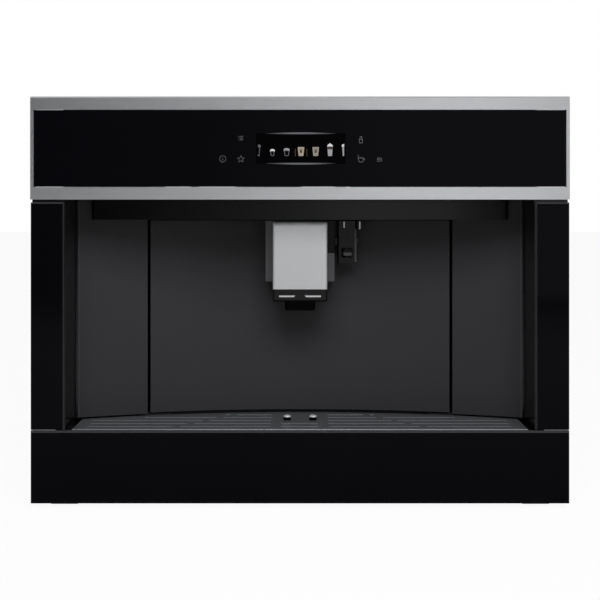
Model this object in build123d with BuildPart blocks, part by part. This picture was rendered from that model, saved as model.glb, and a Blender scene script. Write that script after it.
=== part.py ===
from build123d import *
from math import atan2, cos, sin, sqrt
import os

# A built-in coffee machine that pulls out of its cabinet on two telescopic rails.
# Millimetres. x runs to the viewer's right, y to the back, z up. The origin lies on the shelf,
# below the middle of the machine.

# ---- driving sizes: the front ----
FRONT_WIDTH = 595.0
FRONT_HEIGHT = 449.0
DEPTH = 413.0
SHELF_GAP = 6.0  # the front's lower edge above the shelf
FRONT_THICK = 22.0  # how far the front stands out of the cabinet
GLASS = 4.0
GLASS_BEVEL = 0.8
GLASS_INSET = 0.5  # glass edges behind the overall width
REVEAL = 0.3  # open joint round a glass that is let into a frame
BOTTOM_PANEL_HEIGHT = 80.3
COLUMN_JOINT = 1.0  # between the bottom panel and the side columns
CONTROL_HEIGHT = 113.8
CONTROL_JOINT = 3.1  # between the side columns and the control frame
CONTROL_SIDE_STRIP = 3.7
CONTROL_TOP_STRIP = 14.7
CONTROL_LOWER_STRIP = 13.8
CONTROL_BEVEL = 1.6
FRAME_FACE = 2.0
FRAME_WALL = 1.5
DISPLAY_WIDTH = 99.0
DISPLAY_HEIGHT = 34.0
DISPLAY_X = 1.0
DISPLAY_DROP = 57.5  # display centre below the top edge of the front
PAD_DIAMETER = 11.0

# ---- driving sizes: the niche for the cup ----
NICHE_WIDTH = 518.0
NICHE_DEPTH = 120.0  # at the middle of the curved wall
WALL_RADIUS = 673.0
WALL_SKIN = 3.0
SLIT = 0.4  # between the side mouldings and the drawer that slides out below them
WALL_EDGE_IN = 2.0  # curved wall's side edge inside the reveal
CEILING_STEP = 3.8  # niche ceiling above the lower edge of the control frame
PLASTIC = 2.5
BAR_WIDTH = 482.0
BAR_DEPTH_END = 70.0
BAR_DEPTH_MIDDLE = 58.0
BAR_HEIGHT = 27.0
GRID_RISE = 1.1  # cup grid above the bottom panel
GRID_SIDE_GAP = 6.5
GRID_REAR_GAP = 2.0
GRID_FRONT_DEPTH = 5.0
GRID_SHEET = 1.5
SLOT_ROWS = 5
SLOT_PITCH = 19.5
SLOT_WIDTH = 5.0
SLOT_FIRST_DEPTH = 15.0  # first row behind the grid's front edge
SLOT_MIDDLE = 63.0  # plain width in the middle of each row
SLOT_MARGIN = 14.0
SLOT_BRIDGE = 6.0
BRIDGE_FIRST_X = 138.0
BRIDGE_STEP = 15.0
SHORT_SLOT = 44.5  # slots in the plain middle of the first rows
SHORT_SLOT_ROWS = 2
DOME_X = 14.8
DOME_DEPTH = 62.0
DOME_CAP = (9.8, 3.4)  # diameter and height of each lifting knob's cap
DOME_NECK = (8.0, 2.7)  # and of the neck below it

# ---- driving sizes: the service door and the spouts ----
SEAM_X = 177.75
SEAM_GAP = 3.5
DOOR_LOW_GAP = 3.0
BAY_FLOOR_RISE = 2.2  # bay floor above the bottom panel
DOOR_TOP_GAP = 1.5
DOOR_RIM_DEPTH = 13.0
DOOR_RIM_INSET = 8.0
HINGE_IN = 5.0  # hinge axis from the door's edge, along the wall
HINGE_BEHIND = 5.5  # and behind the door's face
KNUCKLE_DIAMETER = 10.0
KNUCKLE_HEIGHT = 13.0
PIN_DIAMETER = 4.0
PIN_FIT = 0.05
PIN_LENGTH = 11.0
SPOUT_WIDTH = 62.4
SPOUT_FACE_HEIGHT = 77.0
SPOUT_DEPTH = 47.0  # the steel face behind the front
SPOUT_TOP_GAP = 2.1
SPOUT_SHEET = 1.0
SPOUT_CROWN = 6.0  # bend at the top of the steel face
SPOUT_CHIN = 14.0
SPOUT_REAR_DEPTH = 112.0
NOZZLE_WIDTH = 35.4
NOZZLE_HEIGHT = 12.3
NOZZLE_DEPTH = 70.0
NOZZLE_LENGTH = 22.0
OUTLET_X = 12.0
OUTLET_DEPTH = 81.0
OUTLET_BORE = 5.0
CARRIER_WIDTH = 79.9
CARRIER_DEPTH = 74.0
CARRIER_HEIGHT = 70.2
CARRIER_BACK = 6.0
TONGUE_WIDTH = 16.0
SLIDE_AIR = 0.3
WATER_X = 55.0
WATER_WIDTH = 22.6
WATER_DEPTH = 89.0
WATER_HEIGHT = 49.6
WATER_BAR = 6.2
WATER_LEG = 4.6
WATER_TUBE = 9.4
WATER_BLOCK = 31.6
WATER_SLIT = 1.4  # groove down the middle of the block's face
WATER_PLUG = 8.0
BUTTON_HEIGHT = 9.0
BUTTON_DROP = 8.0  # buttons below the middle of the block
BUTTON_DEPTH = 9.0
BUTTON_PROUD = 3.0
BUTTON_TRAVEL = 1.5

# ---- driving sizes: the case and its rails ----
BODY_WIDTH = 530.0
BODY_LIFT = 6.0  # base pan above the front's lower edge
BODY_TOP_DROP = 10.0  # case top below the top of the front
SHEET = 1.2
FLANGE = 12.0
PAN_SHEET = 1.5
PAN_LIP = 18.0
RAIL_THICK = 12.7
RAIL_HEIGHT = 45.0
RAIL_Z = 36.0
RAIL_LENGTH = 376.0
RAIL_SHEET = 1.2
RAIL_AIR = 0.5
RAIL_STEP = 4.7  # each member is that much lower inside the next, above and below
BRACKET_SHEET = 1.5
BRACKET_HEIGHT = 78.0
BRACKET_FOOT = 30.0
BRACKET_HOLE = 5.0
BRACKET_HOLES = 4
BRACKET_PITCH = 110.0
FOOT_DIAMETER = 24.0
FOOT_AIR = 2.0
SCREW = 4.0
SCREW_HEAD = 7.5
SCREW_HEAD_HEIGHT = 2.2

# ---- driving sizes: the drawer ----
TRAY_HALF = 250.0
TRAY_WALL = 2.5
TRAY_FLOOR_Z = 16.0
TRAY_TOP_DROP = 4.3  # tray rim below the bottom panel's top edge
DRAWER_FRONT_DEPTH = 16.0
RUNNER_Z = 47.0
TONGUE_HEIGHT = 5.4
CONTAINER_WIDTH = 150.0
CONTAINER_WALL = 2.0
FLOAT_X = 130.0
FLOAT_DIAMETER = 20.0
FLOAT_TRAVEL = 8.0

# ---- driving sizes: what stands behind the niche ----
BAY_WALL = 2.0
BAY_REAR_Y = 56.0
BREW_X = -20.0
BREW_Y = 5.0
BREW_WIDTH = 92.0
BREW_DEPTH = 80.0
BREW_TOP_Z = 270.0
CHAMBER_BORE = 50.0
CHAMBER_WALL = 4.0
CHAMBER_Z = 150.0
CHAMBER_HEIGHT = 62.0
PISTON_HEIGHT = 14.0
PISTON_FIT = 0.05
PISTON_TRAVEL = 38.0
DUCT_BORE = 32.0
DUCT_WALL = 2.0
TANK_X = -218.0
TANK_Y = 65.0
TANK_WIDTH = 62.0
TANK_LENGTH = 205.0
TANK_Z = 252.0
TANK_WALL = 2.5
TANK_AIR = 1.5  # round the tank in the opening of the case top
DOCK_HEIGHT = 26.0
HOPPER_X = 95.0
HOPPER_Y = 112.0
HOPPER_WIDTH = 140.0
HOPPER_LENGTH = 150.0
HOPPER_Z = 350.0
HOPPER_WALL = 2.5
HOPPER_THROAT = 46.0
GRINDER_DIAMETER = 92.0
GRINDER_Z = 312.0
BURR_DIAMETER = 52.0
MOTOR_DIAMETER = 62.0
MOTOR_HEIGHT = 92.0
LID_THICK = 2.4
KNOB_DIAMETER = 26.0
KNOB_X = 195.0
KNOB_Y = 60.0
SPINDLE = 6.0
BOILER_WIDTH = 90.0
BOILER_DEPTH = 42.0
HOSE = 6.0

# ---- what follows from the driving sizes ----
FRONT_Y = -DEPTH / 2
REAR_Y = DEPTH / 2
BODY_FRONT_Y = FRONT_Y + FRONT_THICK
FRONT_HALF = FRONT_WIDTH / 2
NICHE_HALF = NICHE_WIDTH / 2
BODY_HALF = BODY_WIDTH / 2
GLASS_HALF = FRONT_HALF - GLASS_INSET
TOP_Z = SHELF_GAP + FRONT_HEIGHT
PANEL_TOP_Z = SHELF_GAP + BOTTOM_PANEL_HEIGHT
CONTROL_Z = TOP_Z - CONTROL_HEIGHT
COLUMN_LOW_Z = PANEL_TOP_Z + COLUMN_JOINT
COLUMN_TOP_Z = CONTROL_Z - CONTROL_JOINT
CEILING_Z = CONTROL_Z + CEILING_STEP
BAR_Z = CEILING_Z - BAR_HEIGHT
GRID_Z = PANEL_TOP_Z + GRID_RISE
DOOR_LOW_Z = GRID_Z + DOOR_LOW_GAP
DOOR_TOP_Z = BAR_Z - DOOR_TOP_GAP
DOOR_HALF = SEAM_X - SEAM_GAP / 2
WALL_INNER_X = SEAM_X + SEAM_GAP / 2
WALL_EDGE_X = NICHE_HALF - WALL_EDGE_IN
WALL_CENTRE_Y = FRONT_Y + NICHE_DEPTH - WALL_RADIUS
BODY_LOW_Z = SHELF_GAP + BODY_LIFT
BODY_TOP_Z = TOP_Z - BODY_TOP_DROP
CASE_TOP_Z = BODY_TOP_Z + SHEET
INNER_HALF = BODY_HALF - SHEET
PANEL_REAR_Y = REAR_Y - SCREW_HEAD_HEIGHT
INNER_REAR_Y = PANEL_REAR_Y - SHEET
PAN_TOP_Z = BODY_LOW_Z + PAN_SHEET
TRAY_TOP_Z = PANEL_TOP_Z - TRAY_TOP_DROP
TRAY_FRONT_Y = FRONT_Y + GLASS + DRAWER_FRONT_DEPTH
BAY_HALF = WALL_INNER_X + 2 * BAY_WALL - 0.5
BAY_FLOOR_Z = PANEL_TOP_Z + BAY_FLOOR_RISE
BAY_TOP_Z = BAR_Z
SIDES = (("left", -1), ("right", 1))

os.makedirs("parts", exist_ok=True)


# ---- helpers ----
def plan(z):
    """The level plane at a height."""
    return Plane.XY.offset(z)


def front(y):
    """The upright plane at a depth, seen from the front: x to the right, z up."""
    return Plane(origin=(0, y, 0), x_dir=(1, 0, 0), z_dir=(0, -1, 0))


def back(y):
    """The upright plane at a depth, seen from behind: x to the left, z up."""
    return Plane(origin=(0, y, 0), x_dir=(-1, 0, 0), z_dir=(0, 1, 0))


def side(x):
    """The upright plane at an x, seen from the right: y to the right, z up."""
    return Plane.YZ.offset(x)


def slab(plane, u, v, amount, radius=0.0, mode=Mode.ADD):
    """A plate between two u and two v values of a plane, with round corners if asked."""
    width = abs(u[1] - u[0])
    height = abs(v[1] - v[0])
    with BuildSketch(plane) as outline:
        with Locations(((u[0] + u[1]) / 2, (v[0] + v[1]) / 2)):
            if radius:
                RectangleRounded(width, height, radius)
            else:
                Rectangle(width, height)
    extrude(outline.sketch, amount=amount, mode=mode)


def block(x, y, z, mode=Mode.ADD):
    """A square block between two x, two y and two z values."""
    slab(plan(min(z)), x, y, abs(z[1] - z[0]), mode=mode)


def round_block(x, y, z, radius, mode=Mode.ADD):
    """A block between two x, two y and two z values, its upright edges round."""
    slab(plan(min(z)), x, y, abs(z[1] - z[0]), radius, mode)


def post(x, y, z, diameter, mode=Mode.ADD):
    """An upright round bar between two z values."""
    with BuildSketch(plan(min(z))) as disc:
        with Locations((x, y)):
            Circle(diameter / 2)
    extrude(disc.sketch, amount=abs(z[1] - z[0]), mode=mode)


def round_over(face_y, top_z, radius, half):
    """Round the top front corner of a block that runs across the middle."""
    with BuildSketch(side(-half - 1)) as waste:
        with Locations((face_y + radius / 2, top_z - radius / 2)):
            Rectangle(radius, radius)
        with Locations((face_y + radius, top_z - radius)):
            Circle(radius, mode=Mode.SUBTRACT)
    extrude(waste.sketch, amount=2 * half + 2, mode=Mode.SUBTRACT)


def wall_y(x, behind=0.0):
    """Where the niche's curved wall stands at x, or a surface that far behind it."""
    return WALL_CENTRE_Y + sqrt((WALL_RADIUS + behind) ** 2 - x**2)


def wall_band(x, behind, z, mode=Mode.ADD):
    """A band that follows the curved wall between two distances behind its face."""
    middle = (x[0] + x[1]) / 2
    with BuildSketch(plan(min(z))) as outline:
        with BuildLine():
            near, far = (
                ThreePointArc(*[(at, wall_y(at, gap)) for at in (x[0], middle, x[1])])
                for gap in behind
            )
            Line(near @ 0, far @ 0)
            Line(near @ 1, far @ 1)
        make_face()
    extrude(outline.sketch, amount=abs(z[1] - z[0]), mode=mode)


def write(piece, name):
    """Name a finished piece and write its file."""
    piece.part.label = name
    export_step(piece.part, "parts/" + name + ".step")


# ---- the cabinet's side: an angle bracket with the rails' outer members ----
def rail_channel(web_x, lip_x, half_height, y, sheet=RAIL_SHEET):
    """A C-shaped rail member: an upright web with a lip above and below."""
    outer = max(web_x, lip_x)
    inner = min(web_x, lip_x)
    web = (web_x - sheet, web_x) if web_x > lip_x else (web_x, web_x + sheet)
    with BuildSketch(front(y[0])) as profile:
        with Locations(((outer + inner) / 2, RAIL_Z)):
            RectangleRounded(outer - inner, 2 * half_height, sheet)
        with Locations(((outer + inner) / 2, RAIL_Z)):
            Rectangle(outer - inner, 2 * (half_height - sheet), mode=Mode.SUBTRACT)
        with Locations((sum(web) / 2, RAIL_Z)):
            Rectangle(sheet, 2 * half_height - 2 * sheet)
    extrude(profile.sketch, amount=-(y[1] - y[0]))


RAIL_Y = (BODY_FRONT_Y + 2.0, BODY_FRONT_Y + 2.0 + RAIL_LENGTH)
CABINET_X = BODY_HALF + RAIL_THICK
HOLE_Y = [
    sum(RAIL_Y) / 2 + (i - (BRACKET_HOLES - 1) / 2) * BRACKET_PITCH
    for i in range(BRACKET_HOLES)
]
HOLE_Z = BRACKET_HEIGHT - 2 * BRACKET_HOLE

for word, hand in SIDES:
    with BuildPart() as cabinet_rail:
        block((CABINET_X, CABINET_X + BRACKET_SHEET), RAIL_Y, (0, BRACKET_HEIGHT))
        foot_x = CABINET_X + BRACKET_SHEET - BRACKET_FOOT
        block((foot_x, CABINET_X + BRACKET_SHEET), RAIL_Y, (0, BRACKET_SHEET))
        rail_channel(CABINET_X, BODY_HALF + 2.5, RAIL_HEIGHT / 2, RAIL_Y)
        with BuildSketch(side(CABINET_X)):
            with Locations(*[(y, HOLE_Z) for y in HOLE_Y]):
                Circle(BRACKET_HOLE / 2)
        extrude(amount=BRACKET_SHEET, mode=Mode.SUBTRACT)
        if hand < 0:
            mirror(about=Plane.YZ, mode=Mode.REPLACE)
    write(cabinet_rail, "cabinet_rail_" + word)

    with BuildPart() as middle_rail:
        middle_x = CABINET_X - RAIL_SHEET - RAIL_AIR
        rail_channel(middle_x, BODY_HALF + 3.3, RAIL_HEIGHT / 2 - RAIL_STEP, RAIL_Y)
        if hand < 0:
            mirror(about=Plane.YZ, mode=Mode.REPLACE)
    write(middle_rail, "middle_rail_" + word)

    with BuildPart() as machine_rail:
        machine_lip_x = middle_x - RAIL_SHEET - RAIL_AIR
        rail_channel(BODY_HALF, machine_lip_x, RAIL_HEIGHT / 2 - 2 * RAIL_STEP, RAIL_Y)
        if hand < 0:
            mirror(about=Plane.YZ, mode=Mode.REPLACE)
    write(machine_rail, "machine_rail_" + word)

# ---- the sheet-metal case ----
FOOT_PLACES = [(x, y) for x in (-215.0, 215.0) for y in (-150.0, 165.0)]
SCREW_X = INNER_HALF - FLANGE / 2
SCREW_ZS = [BODY_LOW_Z + 30, (BODY_LOW_Z + BODY_TOP_Z) / 2, BODY_TOP_Z - 30]
CASE_Y = (BODY_FRONT_Y, INNER_REAR_Y)

with BuildPart() as base_pan:
    block((-INNER_HALF, INNER_HALF), CASE_Y, (BODY_LOW_Z, PAN_TOP_Z))
    for lip_x in (-INNER_HALF, INNER_HALF - PAN_SHEET):
        block((lip_x, lip_x + PAN_SHEET), CASE_Y, (PAN_TOP_Z, PAN_TOP_Z + PAN_LIP))
    block(
        (-INNER_HALF, INNER_HALF),
        (INNER_REAR_Y - PAN_SHEET, INNER_REAR_Y),
        (PAN_TOP_Z, PAN_TOP_Z + PAN_LIP),
    )
    with BuildSketch(plan(BODY_LOW_Z)):
        with Locations((0, 130)):
            with GridLocations(48, 14, 8, 4):
                SlotOverall(36, 4)
    extrude(amount=PAN_SHEET, mode=Mode.SUBTRACT)
write(base_pan, "base_pan")

for word, hand in SIDES:
    with BuildPart() as side_panel:
        block((INNER_HALF, BODY_HALF), CASE_Y, (BODY_LOW_Z, BODY_TOP_Z))
        block(
            (INNER_HALF - FLANGE, INNER_HALF),
            CASE_Y,
            (BODY_TOP_Z - SHEET, BODY_TOP_Z),
        )
        block(
            (INNER_HALF - FLANGE, INNER_HALF),
            (INNER_REAR_Y - SHEET, INNER_REAR_Y),
            (PAN_TOP_Z + PAN_LIP + 2, BODY_TOP_Z - SHEET),
        )
        with BuildSketch(side(INNER_HALF)):
            with Locations((120, BODY_TOP_Z - 75)):
                with GridLocations(14, 44, 9, 2):
                    SlotOverall(34, 4.5, rotation=90)
        extrude(amount=SHEET, mode=Mode.SUBTRACT)
        with BuildSketch(front(INNER_REAR_Y)):
            with Locations(*[(SCREW_X, z) for z in SCREW_ZS]):
                Circle(SCREW / 2 + 0.2)
        extrude(amount=SHEET, mode=Mode.SUBTRACT)
        if hand < 0:
            mirror(about=Plane.YZ, mode=Mode.REPLACE)
    write(side_panel, "side_panel_" + word)

INLET_X = 150.0
INLET_Z = 110.0
INLET_WIDTH = 34.0
INLET_HEIGHT = 62.0
INLET_INSIDE = 27.0  # the moulding's width and twice its upper half, inside the panel

with BuildPart() as rear_panel:
    slab(front(PANEL_REAR_Y), (-BODY_HALF, BODY_HALF), (BODY_LOW_Z, BODY_TOP_Z), SHEET, 2.0)
    with BuildSketch(front(PANEL_REAR_Y)):
        for louvre_x in (-150.0, 60.0):
            with Locations((louvre_x, BODY_TOP_Z - 95)):
                with GridLocations(64, 11, 2, 9):
                    SlotOverall(54, 4)
        with Locations(*[(s * SCREW_X, z) for s in (-1, 1) for z in SCREW_ZS]):
            Circle(SCREW / 2 + 0.2)
        with Locations((INLET_X, INLET_Z)):
            Rectangle(INLET_INSIDE + 0.6, INLET_HEIGHT - 8)
    extrude(amount=SHEET, mode=Mode.SUBTRACT)
write(rear_panel, "rear_panel")

TANK_X_SPAN = (TANK_X - TANK_WIDTH / 2, TANK_X + TANK_WIDTH / 2)
TANK_Y_SPAN = (TANK_Y - TANK_LENGTH / 2, TANK_Y + TANK_LENGTH / 2)
FUNNEL_WIDTH = 62.0
FUNNEL_LENGTH = 48.0
HOPPER_OPEN = (HOPPER_WIDTH + 1.0, HOPPER_LENGTH + 1.0)

with BuildPart() as top_panel:
    slab(plan(BODY_TOP_Z), (-BODY_HALF, BODY_HALF), (BODY_FRONT_Y, PANEL_REAR_Y), SHEET, 2.0)
    with BuildSketch(plan(BODY_TOP_Z)):
        with Locations((TANK_X, TANK_Y)):
            RectangleRounded(TANK_WIDTH + 2 * TANK_AIR, TANK_LENGTH + 2 * TANK_AIR, 10)
        with Locations((HOPPER_X, HOPPER_Y)):
            RectangleRounded(*HOPPER_OPEN, 10)
        with Locations((BREW_X, BREW_Y)):
            RectangleRounded(FUNNEL_WIDTH + 1, FUNNEL_LENGTH + 1, 10)
        with Locations((KNOB_X, KNOB_Y)):
            Circle(SPINDLE / 2 + PIN_FIT)
        with Locations((0, BODY_FRONT_Y + 50)):
            with GridLocations(60, 12, 6, 2):
                SlotOverall(46, 4)
    extrude(amount=SHEET, mode=Mode.SUBTRACT)
write(top_panel, "top_panel")

with BuildPart() as bench_feet:
    for foot_x, foot_y in FOOT_PLACES:
        with BuildSketch(plan(FOOT_AIR)):
            with Locations((foot_x, foot_y)):
                Circle(FOOT_DIAMETER / 2)
        extrude(amount=BODY_LOW_Z - FOOT_AIR, taper=4)
        post(foot_x, foot_y, (FOOT_AIR, FOOT_AIR + 5), 8, Mode.SUBTRACT)
write(bench_feet, "bench_feet")

with BuildPart() as panel_screws:
    for screw_x in (-SCREW_X, SCREW_X):
        for screw_z in SCREW_ZS:
            with BuildSketch(back(PANEL_REAR_Y)):
                with Locations((screw_x, screw_z)):
                    Circle(SCREW_HEAD / 2)
            extrude(amount=SCREW_HEAD_HEIGHT, taper=15)
            with BuildSketch(back(PANEL_REAR_Y)):
                with Locations((screw_x, screw_z)):
                    Circle(SCREW / 2)
            extrude(amount=-3 * SCREW)
            with BuildSketch(back(REAR_Y)):
                with Locations((screw_x, screw_z)):
                    Rectangle(0.9 * SCREW, SCREW / 4)
                    Rectangle(SCREW / 4, 0.9 * SCREW)
            extrude(amount=-SCREW_HEAD_HEIGHT / 2, mode=Mode.SUBTRACT)
write(panel_screws, "panel_screws")

# ---- the front: steel control frame, glasses and display ----
WINDOW_HALF = FRONT_HALF - CONTROL_SIDE_STRIP
WINDOW_LOW_Z = CONTROL_Z + CONTROL_LOWER_STRIP
WINDOW_TOP_Z = TOP_Z - CONTROL_TOP_STRIP
DISPLAY_Z = TOP_Z - DISPLAY_DROP
CONTROL_GLASS_Y = (FRONT_Y + REVEAL, FRONT_Y + REVEAL + GLASS)

with BuildPart() as control_frame:
    slab(front(FRONT_Y), (-FRONT_HALF, FRONT_HALF), (CONTROL_Z, TOP_Z), -FRONT_THICK)
    face_edges = control_frame.faces().sort_by(Axis.Y)[0].edges().filter_by(Axis.X)
    chamfer(face_edges.sort_by(Axis.Z)[-1], CONTROL_BEVEL)
    slab(
        front(FRONT_Y + FRAME_FACE),
        (-FRONT_HALF + FRAME_WALL, FRONT_HALF - FRAME_WALL),
        (CONTROL_Z + FRAME_WALL, TOP_Z - FRAME_WALL),
        -(FRONT_THICK - FRAME_FACE),
        mode=Mode.SUBTRACT,
    )
    slab(
        front(FRONT_Y),
        (-WINDOW_HALF, WINDOW_HALF),
        (WINDOW_LOW_Z, WINDOW_TOP_Z),
        -FRAME_FACE,
        mode=Mode.SUBTRACT,
    )
write(control_frame, "control_frame")

with BuildPart() as control_glass:
    slab(
        front(CONTROL_GLASS_Y[0]),
        (-WINDOW_HALF + REVEAL, WINDOW_HALF - REVEAL),
        (WINDOW_LOW_Z + REVEAL, WINDOW_TOP_Z - REVEAL),
        -GLASS,
    )
    chamfer(control_glass.faces().sort_by(Axis.Y)[0].edges(), REVEAL)
write(control_glass, "control_glass")

BOARD_HALF_WIDTH = 100.0
BOARD_HALF_HEIGHT = 31.0
BOARD_SHEET = 1.6
LCD_THICK = 5.0
PAD_UPPER = 10.6  # touch pads above and below the middle of the display
PAD_LOWER = -11.9
PAD_INNER_X = 66.3
PAD_OUTER_X = 86.5
PADS = [(s * PAD_INNER_X, rise) for s in (-1, 1) for rise in (PAD_UPPER, PAD_LOWER)]
PADS += [(s * PAD_OUTER_X, PAD_LOWER) for s in (-1, 1)]

with BuildPart() as display_module:
    lcd_y = CONTROL_GLASS_Y[1]
    board_y = lcd_y + LCD_THICK
    slab(
        front(lcd_y),
        (DISPLAY_X - DISPLAY_WIDTH / 2 - 3, DISPLAY_X + DISPLAY_WIDTH / 2 + 3),
        (DISPLAY_Z - DISPLAY_HEIGHT / 2 - 3, DISPLAY_Z + DISPLAY_HEIGHT / 2 + 3),
        -LCD_THICK,
        2.0,
    )
    slab(
        front(board_y),
        (-BOARD_HALF_WIDTH, BOARD_HALF_WIDTH),
        (DISPLAY_Z - BOARD_HALF_HEIGHT, DISPLAY_Z + BOARD_HALF_HEIGHT),
        -BOARD_SHEET,
        3.0,
    )
    with BuildSketch(front(lcd_y)):
        with Locations(*[(x, DISPLAY_Z + rise) for x, rise in PADS]):
            Circle(PAD_DIAMETER / 2)
    extrude(amount=-LCD_THICK)
    with BuildSketch(front(board_y + BOARD_SHEET)):
        for chip_x, chip_width, chip_height in ((-70, 14, 14), (-30, 20, 10), (20, 24, 24)):
            with Locations((chip_x, DISPLAY_Z + 4)):
                Rectangle(chip_width, chip_height)
    extrude(amount=-2)
    with BuildSketch(front(board_y + BOARD_SHEET)):
        with Locations((70, DISPLAY_Z - 18)):
            Rectangle(30, 9)
    extrude(amount=-7)
write(display_module, "display_module")

COLUMN_IN = NICHE_HALF + 1.7

for word, hand in SIDES:
    with BuildPart() as column_glass:
        slab(front(FRONT_Y), (COLUMN_IN, GLASS_HALF), (COLUMN_LOW_Z, COLUMN_TOP_Z), -GLASS)
        chamfer(column_glass.faces().sort_by(Axis.Y)[0].edges(), GLASS_BEVEL)
        if hand < 0:
            mirror(about=Plane.YZ, mode=Mode.REPLACE)
    write(column_glass, "column_glass_" + word)

with BuildPart() as bottom_glass:
    slab(front(FRONT_Y), (-GLASS_HALF, GLASS_HALF), (SHELF_GAP, PANEL_TOP_Z), -GLASS)
    chamfer(bottom_glass.faces().sort_by(Axis.Y)[0].edges(), GLASS_BEVEL)
write(bottom_glass, "bottom_glass")

# ---- the niche: side mouldings, ceiling and the bar above the spouts ----
BACKING_X = GLASS_HALF - 1.0
BACKING_Y = (FRONT_Y + GLASS, FRONT_Y + GLASS + PLASTIC)
STRIP_LOW_Z = GRID_Z + 1.5
SHADOW_GROOVE = 1.5

for word, hand in SIDES:
    with BuildPart() as niche_side:
        reveal_x = (NICHE_HALF, NICHE_HALF + PLASTIC)
        reveal_rear_y = wall_y(NICHE_HALF, WALL_SKIN)
        block(reveal_x, (BACKING_Y[0], reveal_rear_y), (COLUMN_LOW_Z, CONTROL_Z - 0.5))
        lip_x = (NICHE_HALF, COLUMN_IN - REVEAL)
        block(lip_x, (FRONT_Y + 1, BACKING_Y[0]), (COLUMN_LOW_Z, COLUMN_TOP_Z))
        block(reveal_x, (BODY_FRONT_Y, reveal_rear_y), (COLUMN_LOW_Z, CEILING_Z))
        column_z = (COLUMN_LOW_Z, COLUMN_TOP_Z)
        block((NICHE_HALF, BACKING_X), BACKING_Y, (PANEL_TOP_Z + SLIT, CONTROL_Z))
        block((BACKING_X - PLASTIC, BACKING_X), (BACKING_Y[0], BODY_FRONT_Y), column_z)
        for rib_z in (COLUMN_LOW_Z + 25, (COLUMN_LOW_Z + CONTROL_Z) / 2, CONTROL_Z - 25):
            block(
                (NICHE_HALF + PLASTIC, INNER_HALF),
                (BODY_FRONT_Y + FLANGE, reveal_rear_y - 8),
                (rib_z, rib_z + PLASTIC),
            )
            block(
                (NICHE_HALF + PLASTIC, BACKING_X - PLASTIC),
                (BACKING_Y[1], BODY_FRONT_Y),
                (rib_z, rib_z + PLASTIC),
            )
        wall_band((WALL_INNER_X, WALL_EDGE_X), (0, WALL_SKIN), (STRIP_LOW_Z, CEILING_Z))
        wall_band(
            (WALL_EDGE_X, NICHE_HALF + PLASTIC),
            (SHADOW_GROOVE, WALL_SKIN),
            (STRIP_LOW_Z, CEILING_Z),
        )
        upright = niche_side.edges().filter_by(Axis.Z)
        strip_corner = upright.sort_by_distance((WALL_EDGE_X, wall_y(WALL_EDGE_X), 200))[0]
        chamfer(strip_corner, 1.0)
        if hand < 0:
            mirror(about=Plane.YZ, mode=Mode.REPLACE)
    write(niche_side, "niche_side_" + word)

with BuildPart() as niche_ceiling:
    ceiling_x = (-NICHE_HALF - PLASTIC, NICHE_HALF + PLASTIC)
    ceiling_y = (BODY_FRONT_Y - 8, wall_y(0, 3 * WALL_SKIN))
    block(ceiling_x, ceiling_y, (CEILING_Z, CEILING_Z + PLASTIC))
    header_half = WALL_INNER_X - REVEAL
    wall_band((-header_half, header_half), (0, WALL_SKIN), (BAR_Z, CEILING_Z))
    for rib_x in (-200, -120, -40, 40, 120, 200):
        block((rib_x, rib_x + 2), ceiling_y, (CEILING_Z + PLASTIC, CEILING_Z + PLASTIC + 8))
write(niche_ceiling, "niche_ceiling")

BAR_HALF = BAR_WIDTH / 2


def bar_arc(half, inset):
    """The bar's front line in plan, that far inside its face."""
    end = (half, FRONT_Y + BAR_DEPTH_END + inset)
    return ThreePointArc(
        (-end[0], end[1]), (0, FRONT_Y + BAR_DEPTH_MIDDLE + inset), end
    )


with BuildPart() as visor_bar:
    for half, inset, floor_z, mode in (
        (BAR_HALF, 0.0, BAR_Z, Mode.ADD),
        (BAR_HALF - 20, PLASTIC, BAR_Z + PLASTIC, Mode.SUBTRACT),
    ):
        with BuildSketch(plan(floor_z)) as bar_outline:
            with BuildLine():
                bar_face = bar_arc(half, inset)
                rear = inset + 0.5
                bar_back = ThreePointArc(
                    *[(x, wall_y(x, -rear)) for x in (-half, 0, half)]
                )
                Line(bar_face @ 0, bar_back @ 0)
                Line(bar_face @ 1, bar_back @ 1)
            make_face()
            if mode == Mode.ADD:
                fillet(bar_outline.vertices().group_by(Axis.Y)[0], 3.0)
        extrude(amount=CEILING_Z - floor_z, mode=mode)
write(visor_bar, "visor_bar")

# ---- the service door with its hinge ----
EDGE_ANGLE = atan2(DOOR_HALF, sqrt(WALL_RADIUS**2 - DOOR_HALF**2))
HINGE_X = -DOOR_HALF + HINGE_IN * cos(EDGE_ANGLE) - HINGE_BEHIND * sin(EDGE_ANGLE)
HINGE_Y = wall_y(DOOR_HALF) + HINGE_IN * sin(EDGE_ANGLE) + HINGE_BEHIND * cos(EDGE_ANGLE)
RIM_HALF = DOOR_HALF - DOOR_RIM_INSET
RIM_WALL = 2.5
RIM_Z = (DOOR_LOW_Z + 2, DOOR_TOP_Z - 2)

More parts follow.
